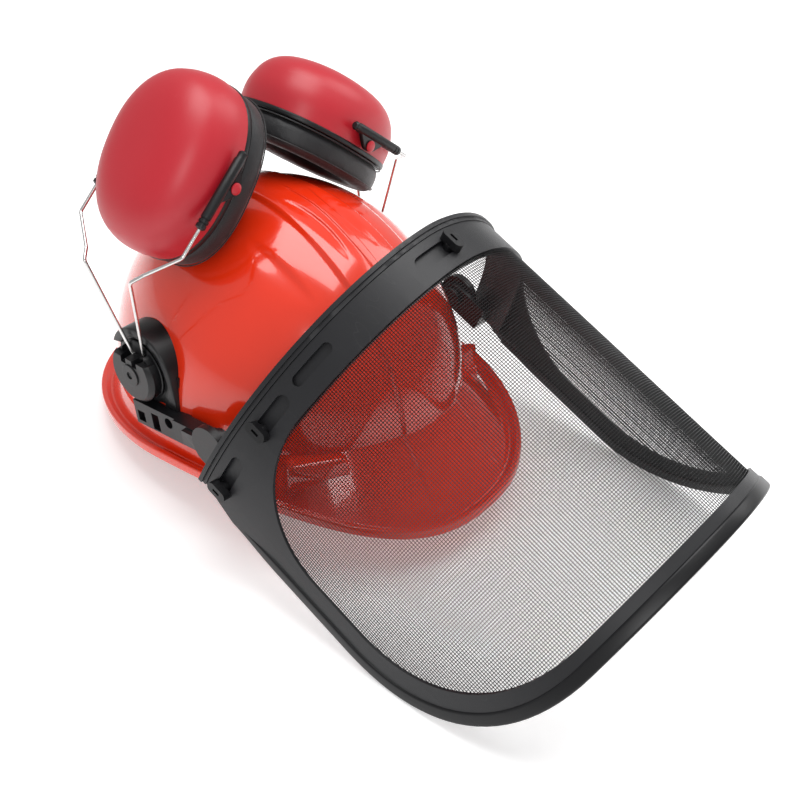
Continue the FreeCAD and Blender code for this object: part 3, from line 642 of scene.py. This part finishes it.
SHELL_ORANGE = shell_orange().material
CUP_RED = cup_red().material
BLACK = black_plastic().material
FRAME_BLACK = frame_black().material
TRIM_BLACK = trim_black().material
HARNESS_BLACK = harness_plastic().material
MESH_BLACK = mesh_black().material
STEEL = spring_steel().material
LEATHERETTE = leatherette().material
FOAM = damping_foam().material
WEBBING = woven("Black webbing", (0.022, 0.022, 0.024), 3600.0).material
BAND_CLOTH = woven("Sweatband cloth", (0.040, 0.040, 0.044), 5200.0).material

# ------------------------------------------------------------ shell

SHELL_COLUMNS = 400
DOME_ROWS = 110
FRONT_CROWDING = 0.3


def rim_point(turn, inset, rise):
    """A point of the rim, from the rear (turn 0) round to the peak (half a turn)."""
    across = math.sin(turn)
    along = math.cos(turn)
    if along >= 0:
        x = (RIM_HALF_W - inset) * across
        y = (RIM_REAR - inset) * along
        z = RIM_Z
    else:
        power = 2.0 / PEAK_ROUND
        x = (RIM_HALF_W - inset) * math.copysign(abs(across) ** power, across)
        y = -(PEAK_REACH - inset) * abs(along) ** power
        z = RIM_Z - PEAK_DROP * along ** 2
    return Vector((x, y, z + rise))


def dome_point(turn, climb, offset):
    """A point of the dome at a turn round it and a climb from its base, 0 to a quarter turn."""
    flat = math.cos(climb)
    return Vector(((DOME_HALF_W + offset) * flat * math.sin(turn),
                   DOME_Y + (DOME_HALF_L + offset) * flat * math.cos(turn),
                   DOME_BASE_Z + (DOME_RISE + offset) * math.sin(climb)))


def leaf(value, start, end):
    """A hump from 0 at start to 1 in the middle and back to 0 at end."""
    t = (value - start) / (end - start)
    return math.sin(math.pi * t) if 0 < t < 1 else 0.0


def crest_half(y):
    """Half the crest's width: it widens from the crown to the peak."""
    flare = 6.6 * smooth_step(10.0, -95.0, y)
    return CREST_HALF + flare + 1.8 * smooth_step(-90.0, -126.0, y)


def relief(point):
    """How far the shell stands out from the plain dome: crest, keel and scoops."""
    across = abs(point.x)
    rear_fade = 1.0 - smooth_step(70.0, 92.0, point.y)
    edge = crest_half(point.y)
    height = CREST_RISE * (1.0 - smooth_step(edge - 1.5, edge + 0.7, across)) * rear_fade
    keel_run = smooth_step(-118.0, -104.0, point.y)
    keel_run *= 1.0 - smooth_step(-34.0, -22.0, point.y)
    keel_half = 0.3 + 1.7 * smooth_step(-46.0, -78.0, point.y)
    height += KEEL_RISE * keel_run * (1.0 - smooth_step(keel_half, keel_half + 0.9, across))
    inner = math.sqrt(leaf(point.y, -82.0, SCOOP_REAR))
    if inner:
        low = INNER_SCOOP_X - 4.4 * inner
        high = INNER_SCOOP_X + 3.6 * inner
        wall = smooth_step(low, low + 1.0, across)
        ramp = 1.0 - smooth_step(low + 1.2, high + 1.5, across)
        height -= INNER_SCOOP_DEPTH * inner * wall * ramp
    outer = leaf(point.y, -84.0, SCOOP_REAR)
    if outer:
        wall = smooth_step(OUTER_SCOOP_X, 40.6, across)
        ramp = 1.0 - smooth_step(41.0, 42.0 + 15.0 * outer, across)
        height -= OUTER_SCOOP_DEPTH * outer * wall * ramp
    return height


def front_pocket(skin, side):
    """The raised cover of a blind slot, low on the front of the dome."""
    normal = Vector((side * 0.629, -0.777, 0.0))
    along = Vector((-normal.y, normal.x, 0.0))
    centre = Vector((side * 70.0, -100.0, 2.0))
    outline = rounded_profile([(-19.0, -10.0), (19.0, -10.0), (17.0, 12.0), (-17.0, 12.0)], 4.5)
    rings = []
    for out, shrink in ((-9.0, 1.0), (2.6, 1.0), (3.9, 0.975), (4.5, 0.93)):
        rings.append([centre + normal * out + along * a * shrink + Vector((0, 0, b * shrink))
                      for a, b in outline])
    skin.loft(rings, start_cap=True, end_cap=True)


def shell_column(turn):
    """The wall's section at one turn: down the outside, round the lip and up the inside."""
    top_climb = math.pi / 2 * (1 - 0.5 / DOME_ROWS)
    low_climb = math.asin(DOME_FOOT / DOME_RISE)
    path = []
    for row in range(DOME_ROWS + 1):
        climb = top_climb + (low_climb - top_climb) * row / DOME_ROWS
        base = dome_point(turn, climb, 0.0)
        path.append(dome_point(turn, climb, relief(base)))
    outside = path[-1]
    inside = dome_point(turn, low_climb, -WALL)
    brim = [
        path[-2],
        outside,
        rim_point(turn, GUTTER_W, -GUTTER_DROP),
        rim_point(turn, LIP_INNER, LIP_RISE - LIP_ROUND),
        rim_point(turn, LIP_ROUND, LIP_RISE),
        rim_point(turn, 0.0, -GUTTER_DROP - WALL),
        rim_point(turn, GUTTER_W, -GUTTER_DROP - WALL),
        inside,
        dome_point(turn, low_climb + 0.05, -WALL),
    ]
    path.extend(bent(brim, BRIM_BEND, 4)[1:-1])
    inner_rows = 40
    lift = 0.06
    for row in range(1, inner_rows + 1):
        climb = low_climb + lift + (top_climb - low_climb - lift) * row / inner_rows
        path.append(dome_point(turn, climb, -WALL))
    return path


def build_shell():
    skin = Skin()
    columns = []
    for i in range(SHELL_COLUMNS):
        even = math.tau * (i + 0.5) / SHELL_COLUMNS
        columns.append(shell_column(even - FRONT_CROWDING * math.sin(2 * even)))
    rings = [list(ring) for ring in zip(*columns)]
    skin.loft(rings, start_cap=True, end_cap=True)
    for side in SIDES.values():
        front_pocket(skin, side)
    shell = skin.piece("shell_moulding", HELMET, SHELL_ORANGE, "helmet", "shell_orange", sharp=60.0)
    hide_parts("shell")


# ------------------------------------------------------------ visor

def visor_point(turn, offset):
    """The visor's section at a turn of minus to plus a quarter turn, moved outward."""
    power = 2.0 / VISOR_ROUND
    across = math.sin(turn)
    along = max(math.cos(turn), 0.0)
    x = VISOR_HALF_W * math.copysign(abs(across) ** power, across)
    q = VISOR_DEPTH * along ** power
    normal_x = math.copysign((abs(x) / VISOR_HALF_W) ** (VISOR_ROUND - 1) / VISOR_HALF_W, x)
    normal_q = (q / VISOR_DEPTH) ** (VISOR_ROUND - 1) / VISOR_DEPTH
    length = math.hypot(normal_x, normal_q)
    return x + offset * normal_x / length, q + VISOR_TAIL + offset * normal_q / length


def even_turns(pitch):
    """Turns of the section that are a pitch apart along it."""
    fine = 4000
    turns = [math.pi * (i / fine - 0.5) for i in range(fine + 1)]
    marks = [turns[0]]
    walked = 0.0
    last = visor_point(turns[0], 0.0)
    for turn in turns[1:]:
        here = visor_point(turn, 0.0)
        walked += math.dist(last, here)
        last = here
        if walked >= pitch * len(marks):
            marks.append(turn)
    return marks


def lowest_at(q, inset):
    """How far down the visor's outline reaches at a given q."""
    radius = CORNER_R - inset
    short = radius - (q - VISOR_TAIL - inset)
    if short <= 0:
        return VISOR_LENGTH - inset
    return VISOR_LENGTH - inset - radius + math.sqrt(max(radius ** 2 - short ** 2, 0.0))


def build_mesh():
    """Fine wires both ways, the down wires just inside the cross wires."""
    top = VISOR_TOP + 15.0
    skin = Skin()
    middle = -FRAME_T - MESH_T / 2
    for turn in even_turns(MESH_PITCH):
        x, q = visor_point(turn, middle - MESH_LAYER)
        if q >= VISOR_TAIL + MESH_INSET:
            low = lowest_at(q, MESH_INSET)
            skin.tube([(x, q, top), (x, q, low)], MESH_WIRE_R, sides=4)
    marks = even_turns(3.6)
    rows = int((VISOR_LENGTH - MESH_INSET - top) / MESH_PITCH)
    for row in range(rows + 1):
        height = top + row * MESH_PITCH
        path = []
        for turn in marks:
            x, q = visor_point(turn, middle + MESH_LAYER)
            if q >= VISOR_TAIL + MESH_INSET and lowest_at(q, MESH_INSET) >= height:
                path.append((x, q, height))
        if len(path) > 1:
            skin.tube(path, MESH_WIRE_R, sides=3)
    mesh = skin.piece("visor_wire_mesh", VISOR, MESH_BLACK, "visor", "visor_mesh", sharp=180.0)
    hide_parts("visor_mesh")


def edge_path():
    """Points, outward normals and inward directions along the visor's free edge."""
    half = []
    straight_steps = 14
    straight = VISOR_LENGTH - CORNER_R - BEAD_START
    for i in range(straight_steps):
        half.append((VISOR_TAIL, BEAD_START + straight * i / straight_steps))
    corner_steps = 26
    for i in range(corner_steps + 1):
        turn = math.pi / 2 * i / corner_steps
        half.append((VISOR_TAIL + CORNER_R * (1 - math.cos(turn)),
                     VISOR_LENGTH - CORNER_R + CORNER_R * math.sin(turn)))
    along = ((half[-1][0] - VISOR_TAIL) / VISOR_DEPTH) ** (VISOR_ROUND / 2)
    last_turn = math.acos(along)
    path = []
    for side in (-1, 1):
        run = []
        for q, v in half:
            along = ((q - VISOR_TAIL) / VISOR_DEPTH) ** (VISOR_ROUND / 2)
            run.append((side * math.acos(min(along, 1.0)), v))
        if side > 0:
            run.reverse()
        path.extend(run)
        if side < 0:
            middle_steps = 30
            path.extend((last_turn * (2 * i / middle_steps - 1), VISOR_LENGTH)
                        for i in range(1, middle_steps))
    places = []
    for turn, v in path:
        x0, q0 = visor_point(turn, 0.0)
        x1, q1 = visor_point(turn, 1.0)
        places.append((Vector((x0, q0, v)), Vector((x1 - x0, q1 - q0, 0))))
    marks = []
    for i, (point, normal) in enumerate(places):
        before = places[max(i - 1, 0)][0]
        after = places[min(i + 1, len(places) - 1)][0]
        way = (after - before).normalized()
        marks.append((point, normal, normal.cross(way).normalized()))
    return marks


def build_trim():
    """The rolled bead: a rounded section carried round the free edge."""
    thick = FRAME_T + MESH_T + 2 * TRIM_PROUD
    low = -thick + TRIM_PROUD
    corners = [(-TRIM_LAP, low), (TRIM_W, low), (TRIM_W, TRIM_PROUD), (-TRIM_LAP, TRIM_PROUD)]
    section = rounded_profile(corners, TRIM_ROUND)
    skin = Skin()
    rings = []
    middle = Vector((0, VISOR_TAIL + VISOR_DEPTH / 2, VISOR_LENGTH / 2))
    heart = -(FRAME_T + MESH_T) / 2
    for point, normal, inward in edge_path():
        if inward.dot(middle - point) < 0:
            inward = -inward
        grown = smooth_step(BEAD_START, BEAD_START + BEAD_TAPER, point.z)
        full = BEAD_SLIM + (1 - BEAD_SLIM) * grown
        rings.append([point + inward * a * full + normal * (heart + (b - heart) * full)
                      for a, b in section])
    skin.loft(rings, start_cap=True, end_cap=True)
    trim = skin.piece("visor_edge_bead", VISOR, TRIM_BLACK, "visor", "trim_black", sharp=60.0)
    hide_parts("visor_edge_trim")


def build_visor():
    build_mesh()
    build_trim()
    finished_copy("visor_frame", FRAME_BLACK, "visor", 0.4)
    finished_copy("brow_bracket", FRAME_BLACK, "visor", 0.5)
    finished_copy("bracket_lugs", BLACK, "visor", 0.5)
    for side in SIDES:
        finished_copy("visor_strut_" + side, BLACK, "visor", 0.5)
        finished_copy("visor_pivot_pin_" + side, BLACK, "helmet", 0.4)


# ------------------------------------------------------------ side fittings

def hub_frame(side):
    """The upright helmet's axes, moved to a hub."""
    hub = HELMET.inverted() @ Vector(JOINTS["hub_turn_" + side]["pos_m"])
    return HELMET @ Matrix.Translation((0.0, hub.y, hub.z))


def extruded(skin, side, outline, stages):
    """A form along the helmet's x from a (y, z) outline. A stage is x and what to draw in by."""
    rings = []
    for x, draw in stages:
        rings.append([Vector((SIDES[side] * x, y * draw, z * draw if z < 0 else z))
                      for y, z in outline])
    skin.loft(rings, start_cap=True, end_cap=True)


def build_cap(side):
    """The turning cap: a thin flange, and a body cut off flat above the wire it holds."""
    place = hub_frame(side) @ Matrix.Rotation(CAP_LEAN, 4, "X")
    hook = Vector((0.0, WIRE_ROUTE[0][1], WIRE_ROUTE[0][2]))
    bar = place.inverted() @ (arm_frame(side) @ hook)
    top = bar.z + 2.2
    floor = bar.z - WIRE_R - 0.5
    corner = math.asin(top / CAP_R)
    arc_steps = 60
    outline = []
    for i in range(arc_steps + 1):
        turn = corner - (math.pi + 2 * corner) * i / arc_steps
        outline.append((CAP_R * math.cos(turn), CAP_R * math.sin(turn)))
    for end in (-1, 1):
        first, last = sorted((3.2 * end, 8.0 * end))
        outline += [(first, top), (first, floor), (last, floor), (last, top)]
    skin = Skin()
    foot = 99.5
    extruded(skin, side, outline,
             ((foot, 1.0), (104.9, 1.0), (105.2, 0.99), (107.3, 0.89), (107.7, 0.86)))
    base = top - 3.0
    for end in (-1, 1):
        shoulder = [(9.6 * end, base), (9.6 * end, 14.6), (11.9 * end, 13.0), (14.9 * end, base)]
        extruded(skin, side, rounded_profile(shoulder, 0.8),
                 ((foot, 1.0), (103.6, 1.0), (104.0, 0.985)))
    low, high = 98.7, 100.1
    flange = [(0.0, CAP_FLANGE_R - 0.6), (0.4, CAP_FLANGE_R),
              (high - low - 0.4, CAP_FLANGE_R), (high - low, CAP_FLANGE_R - 0.5)]
    skin.turned((SIDES[side] * low, 0, 0), (SIDES[side], 0, 0), flange, 72)
    cap = skin.piece("turning_cap_" + side, place, BLACK, "hub_" + side, "black_plastic",
                     sharp=28.0)
    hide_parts("hub_cap_" + side)


def front_arc(radius, start, end, steps):
    """Points (y, z) of an arc, its turns in degrees up from the front."""
    turns = [math.radians(start + (end - start) * i / steps) for i in range(steps + 1)]
    return [(-radius * math.cos(turn), radius * math.sin(turn)) for turn in turns]


def build_cheek(side):
    """The side adapter's raised edge: a crescent round the cap that runs down to the ladder."""
    inner_r, outer_r = CHEEK_INNER_R, CHEEK_OUTER_R
    crescent = front_arc(outer_r, 150.0, 0.0, 24)
    crescent += [(-outer_r - 0.6, -12.0), (-outer_r - 1.4, -25.0),
                 (-inner_r + 4.0, -22.0), (-inner_r + 1.0, -8.0)]
    crescent += front_arc(inner_r, -8.0, 140.0, 18)
    skin = Skin()
    rings = []
    for x, shrink in ((84.0, 0.0), (98.9, 0.0), (99.6, 0.25), (99.9, 0.8)):
        ring = []
        for y, z in crescent:
            reach = math.hypot(y, z)
            pull = shrink * (1.0 if reach < (inner_r + outer_r) / 2 else -1.0) / max(reach, 1.0)
            ring.append(Vector((SIDES[side] * x, y * (1 + pull), z * (1 + pull))))
        rings.append(ring)
    skin.loft(rings, start_cap=True, end_cap=True)
    skin.piece("adapter_cheek_" + side, hub_frame(side), BLACK, "helmet", "black_plastic",
               sharp=50.0)


def build_side_fittings():
    for side in SIDES:
        build_cheek(side)
        finished_copy("side_adapter_" + side, BLACK, "helmet", 0.7)
        finished_copy("hub_screw_" + side, BLACK, "helmet", 0.4)
        build_cap(side)


# ------------------------------------------------------------ ear muffs

def build_yoke(side):
    """The bent spring wire: one smooth run from tip to tip through the cross bar."""
    width, start_a, start_o = WIRE_ROUTE[-1]
    reach_a = start_a + WIRE_STRAIGHT * math.cos(WIRE_TURN_IN)
    reach_o = start_o - WIRE_STRAIGHT * math.sin(WIRE_TURN_IN)
    leg = list(WIRE_ROUTE) + [(width, reach_a, reach_o)]
    route = [(-w, a, o) for w, a, o in reversed(leg)] + leg
    skin = Skin()
    skin.tube(bent(route, 3.0, 8), WIRE_R, sides=16)
    wire = skin.piece("bent_wire_" + side, arm_frame(side), STEEL, "yoke_" + side, "spring_wire",
                      sharp=70.0)
    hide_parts("wire_yoke_" + side)


def build_slider(side, end, node):
    """A ribbed tube with end collars and a three-cornered lug for the rivet."""
    place = slider_frame(side)
    w = end * WIRE_ROUTE[-1][0]
    skin = Skin()
    groove = TUBE_R - 0.5
    collar = TUBE_R - 0.35
    profile = [(-0.4, 1.3), (0.0, 2.1), (0.5, TUBE_R - 0.1), (2.4, TUBE_R), (2.7, groove),
               (3.3, groove), (3.6, TUBE_R), (5.0, TUBE_R), (5.3, groove), (5.9, groove),
               (6.2, TUBE_R), (TUBE_LENGTH - 5.0, TUBE_R), (TUBE_LENGTH - 4.4, collar),
               (TUBE_LENGTH - 1.0, collar), (TUBE_LENGTH - 0.3, TUBE_R - 0.9),
               (TUBE_LENGTH, 1.6)]
    skin.turned((w, -PIN_SET, TUBE_OFF), (0, 1, 0), profile, 28)
    corners = [(-14.0, TUBE_OFF), (14.0, TUBE_OFF), (4.2, -2.6), (0.0, -3.6), (-4.2, -2.6)]
    lug = rounded_profile(corners, 3.2, 5)
    inner, outer = w - end * 1.5, w + end * 1.5
    edge = end * 0.4
    rings = []
    for x, shrink in ((inner, 0.94), (inner + edge, 1.0), (outer - edge, 1.0), (outer, 0.94)):
        rings.append([Vector((x, y * shrink, (z - 2.0) * shrink + 2.0)) for y, z in lug])
    skin.loft(rings, start_cap=True, end_cap=True)
    slider = skin.piece(node + "_moulding", place, BLACK, "sliders_" + side, "black_plastic",
                        sharp=35.0)
    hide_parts(node)


def build_pins(side):
    """Both rivets: a shaft and a shallow domed head."""
    skin = Skin()
    w = WIRE_ROUTE[-1][0]
    for end in (-1, 1):
        inner = CUP_HALF_W - 4
        head = w + 1.6 - inner
        shaft_r = 2.15
        profile = [(0.0, 2.0), (0.3, shaft_r), (head, shaft_r), (head, 3.1), (head + 0.3, 3.4),
                   (head + 0.9, 3.3), (head + 1.3, 2.6), (head + 1.55, 1.4), (head + 1.6, 0.3)]
        skin.turned((end * inner, 0, 0), (end, 0, 0), profile, 28)
    pins = skin.piece("rivets_" + side, slider_frame(side), CUP_RED, "sliders_" + side, "rivet_red")
    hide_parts("cup_pins_" + side)


def lifted(ring, height):
    """A flat outline's points at a height."""
    return [Vector((x, y, height)) for x, y in ring]


def cup_rings(inset, steps):
    """Rings of the cup from its base to its flattened crown."""
    crown = 3.2
    rows = 27
    rings = []
    height = CUP_DEPTH - inset - CUP_BASE
    for i in range(rows):
        turn = math.pi / 2 * i / rows
        rise = math.sin(turn) ** (2 / crown)
        scale = math.cos(turn) ** (2 / crown)
        scale *= 1.0 + 0.012 * math.sin(math.pi * min(rise / 0.5, 1.0))
        power = OVAL_POWER - 0.2 * rise
        ring = superellipse(CUP_HALF_W * scale - inset * scale,
                            CUP_HALF_H * scale - inset * scale, power, steps)
        rings.append(lifted(ring, CUP_BASE + rise * height))
    return rings


def build_cup(side):
    """The hollow cup, with a rounded lip between its outside and its inside."""
    skin = Skin()
    steps = 96
    wall = 3.0
    outer = cup_rings(0.0, steps)
    inner = cup_rings(wall, steps)
    lip = []
    for t in (0.15, 0.5, 0.85):
        drop = Vector((0, 0, -0.15 * math.sin(math.pi * t)))
        lip.append([p + (q - p) * t + drop for p, q in zip(outer[0], inner[0])])
    rings = list(reversed(outer)) + lip + inner
    skin.loft(rings, start_cap=True, end_cap=True)
    cup = skin.piece("cup_shell_" + side, cup_frame(side), CUP_RED, "muff_" + side, "cup_red",
                     sharp=60.0)
    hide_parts("ear_cup_" + side)


def ring_loft(half_w, half_h, section, steps=96):
    """A ring whose section is (inward, height) pairs carried round an oval."""
    return [lifted(superellipse(half_w - inward, half_h - inward, OVAL_POWER, steps), height)
            for inward, height in section]


def build_plate(side):
    """The seat plate between cup and cushion, with a rounded outer edge."""
    skin = Skin()
    low = CUP_BASE - PLATE_T
    width = 17.5
    proud = 0.4
    section = rounded_profile([(0.0, low), (width, low), (width, CUP_BASE), (0.0, CUP_BASE)], 0.9)
    skin.loft(ring_loft(CUP_HALF_W + proud, CUP_HALF_H + proud, section), join_ends=True)
    plate = skin.piece("seat_plate_" + side, cup_frame(side), BLACK, "muff_" + side,
                       "black_plastic", sharp=35.0)
    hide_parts("cup_plate_" + side)


def puff(piece, voxel, cap):
    """Swells a closed soft form with cloth pressure, held to a cap, and applies it."""
    bpy.context.view_layer.objects.active = piece
    remesh = piece.modifiers.new("Even cloth", "REMESH")
    remesh.mode = "VOXEL"
    remesh.voxel_size = voxel * MM
    bake_modifiers(piece)
    start = [v.co.copy() for v in piece.data.vertices]
    cloth = piece.modifiers.new("Swell", "CLOTH")
    cloth.settings.use_pressure = True
    cloth.settings.uniform_pressure_force = SWELL_PRESSURE
    cloth.settings.effector_weights.gravity = 0.0
    cloth.settings.quality = 5
    for step in range(1, SWELL_STEPS + 1):
        bpy.context.scene.frame_set(step)
    bake_modifiers(piece)
    for vertex, rest in zip(piece.data.vertices, start):
        move = vertex.co - rest
        if move.length > cap * MM:
            vertex.co = rest + move.normalized() * cap * MM
    bpy.context.scene.frame_set(1)
    fine = piece.modifiers.new("Smooth cover", "SUBSURF")
    fine.levels = 1
    fine.render_levels = 1
    bake_modifiers(piece)
    piece.data.polygons.foreach_set("use_smooth", [True] * len(piece.data.polygons))


def bake_modifiers(piece):
    """Turns the piece's modified shape into its own mesh."""
    depsgraph = bpy.context.evaluated_depsgraph_get()
    mesh = bpy.data.meshes.new_from_object(piece.evaluated_get(depsgraph))
    old = piece.data
    piece.modifiers.clear()
    piece.data = mesh
    bpy.data.meshes.remove(old)


def build_cushion(side):
    """A soft ring: fuller in the middle of its face, drawn in at the seat."""
    skin = Skin()
    top = CUP_BASE - PLATE_T - 0.2
    low = top - CUSHION_T + 1.0
    section = rounded_profile([(0.9, top), (0.7, low), (17.9, low), (17.9, top)], 6.0, 5)
    skin.loft(ring_loft(CUP_HALF_W, CUP_HALF_H, section), join_ends=True)
    place = cup_frame(side)
    cushion = skin.piece("soft_cushion_" + side, place, LEATHERETTE, "muff_" + side,
                         "cushion_leatherette")
    puff(cushion, 2.6, 1.0)
    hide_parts("ear_cushion_" + side)
    seams = Skin()
    for inward, height in ((0.5, top - 0.9), (0.75, low + 3.2), (17.6, top - 0.9)):
        ring = superellipse(CUP_HALF_W - inward, CUP_HALF_H - inward, OVAL_POWER, 120)
        seams.tube(lifted(ring, height), 0.42, sides=6, closed=True)
    seams.piece("cushion_welts_" + side, place, LEATHERETTE, "muff_" + side,
                "cushion_leatherette")


def build_foam(side):
    """The loose foam disc, dished where it presses into the cup."""
    skin = Skin()
    section = ((0.1, 2.6), (0.35, 2.2), (0.9, 2.0), (1.0, 2.4), (1.0, 12.5),
               (0.96, 13.6), (0.9, 13.9), (0.5, 13.4), (0.1, 13.0))
    rings = []
    for scale, height in section:
        ring = superellipse(27.6 * scale, 41.6 * scale, OVAL_POWER, 72)
        rings.append([Vector((x, y, height + 0.35 * noise.noise(Vector((x, y, height)) * 0.15)))
                      for x, y in ring])
    skin.loft(rings, start_cap=True, end_cap=True)
    foam = skin.piece("foam_disc_" + side, cup_frame(side), FOAM, "muff_" + side, "damping_foam",
                      sharp=80.0)
    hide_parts("cup_foam_" + side)


def build_muff(side):
    build_yoke(side)
    for end, name in ((-SIDES[side], "front"), (SIDES[side], "rear")):
        build_slider(side, end, name + "_slider_" + side)
    build_pins(side)
    build_cup(side)
    build_plate(side)
    build_cushion(side)
    build_foam(side)


# ------------------------------------------------------------ harness

def build_soft_band(node, name):
    """A thin pad with the CAD solid's outline, swelled a little."""
    piece = in_scene(name, node_mesh(node, BAND_CLOTH))
    puff(piece, 1.5, 0.5)
    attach(piece, "helmet")
    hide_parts(node)


def harness_moulding(node, body, softening):
    finished_copy(node, HARNESS_BLACK, body, softening)


def build_harness():
    harness_moulding("headband", "helmet", 0.3)
    harness_moulding("ratchet_case", "helmet", 0.6)
    harness_moulding("size_knob", "knob", 0.4)
    for side in SIDES:
        harness_moulding("size_rack_" + side, "rack_" + side, 0.1)
        harness_moulding("front_strap_key_" + side, "helmet", 0.4)
        harness_moulding("rear_strap_key_" + side, "helmet", 0.4)
        finished_copy("crown_strap_from_" + side, WEBBING, "helmet", 0.3)
    build_soft_band("sweatband", "sweatband_cover")
    build_soft_band("nape_pad", "nape_pad_cover")


# ------------------------------------------------------------ camera and studio

CAMERA_AZIMUTH = math.radians(-46.737)
CAMERA_ELEVATION = math.radians(32.092)
CAMERA_ROLL = math.radians(-4.882)
CAMERA_DISTANCE = 678.304
CAMERA_TARGET = Vector((19.488, -83.799, 0.249))
CAMERA_LENS = 48.8


def build_camera():
    """The camera's place and turn are given in the upright helmet's frame."""
    flat = math.cos(CAMERA_ELEVATION)
    back = Vector((math.sin(CAMERA_AZIMUTH) * flat, -math.cos(CAMERA_AZIMUTH) * flat,
                   math.sin(CAMERA_ELEVATION)))
    level = Vector((math.cos(CAMERA_AZIMUTH), math.sin(CAMERA_AZIMUTH), 0))
    rise = back.cross(level)
    right = math.cos(CAMERA_ROLL) * level + math.sin(CAMERA_ROLL) * rise
    up = back.cross(right)
    place = axes(CAMERA_TARGET + back * CAMERA_DISTANCE, right, up, back)
    turned = HELMET @ place
    data = bpy.data.cameras.new("studio_camera")
    data.lens = CAMERA_LENS
    data.sensor_width = 36.0
    data.clip_start = 0.01
    camera = in_scene("studio_camera", data)
    turn = turned.to_3x3().normalized().to_4x4()
    camera.matrix_world = Matrix.Translation(turned.translation) @ turn
    bpy.context.scene.camera = camera


def soft_box(name, place, target, width, height, power):
    """A rectangular light at a place, facing a target."""
    data = bpy.data.lights.new(name, "AREA")
    data.shape = "RECTANGLE"
    data.size = width
    data.size_y = height
    data.energy = power
    lamp = in_scene(name, data)
    lamp.location = place
    lamp.rotation_euler = (Vector(target) - Vector(place)).to_track_quat("-Z", "Y").to_euler()


# the studio's lengths are in metres
FLOOR_HALF = 6.0
FLOOR_Z = -0.00015
WORLD_LIGHT = 0.50
WORLD_SEEN = 1.0


def build_studio():
    """A pale floor, a world that is brighter to the camera than as a light, and three lights."""
    mesh = bpy.data.meshes.new("studio_floor")
    corners = [(x * FLOOR_HALF, y * FLOOR_HALF, FLOOR_Z)
               for x, y in ((-1, -1), (1, -1), (1, 1), (-1, 1))]
    mesh.from_pydata(corners, [], [(0, 1, 2, 3)])
    mesh.materials.append(floor_white().material)
    floor = in_scene("studio_floor", mesh)
    world = bpy.data.worlds.new("Pale studio")
    bpy.context.scene.world = world
    world.use_nodes = True
    around = world.node_tree.nodes["Background"]
    around.inputs["Color"].default_value = (1.0, 1.0, 1.0, 1.0)
    rays = world.node_tree.nodes.new("ShaderNodeLightPath")
    strength = world.node_tree.nodes.new("ShaderNodeMapRange")
    set_inputs(strength, To_Min=WORLD_LIGHT, To_Max=WORLD_SEEN)
    world.node_tree.links.new(rays.outputs["Is Camera Ray"], strength.inputs["Value"])
    world.node_tree.links.new(strength.outputs["Result"], around.inputs["Strength"])
    bpy.context.scene.view_settings.view_transform = "Standard"
    soft_box("overhead_box", (0.15, 0.05, 1.5), (0, 0, 0.05), 1.1, 0.9, 14.0)
    soft_box("front_left_box", (-0.8, -0.75, 0.9), (0, 0, 0.1), 0.35, 0.30, 3.0)
    soft_box("right_box", (1.0, -0.3, 0.9), (0, 0, 0.1), 0.6, 0.8, 4.0)


# ------------------------------------------------------------ making

build_camera()
build_studio()
build_shell()
build_visor()
build_side_fittings()
for muff_side in SIDES:
    build_muff(muff_side)
build_harness()
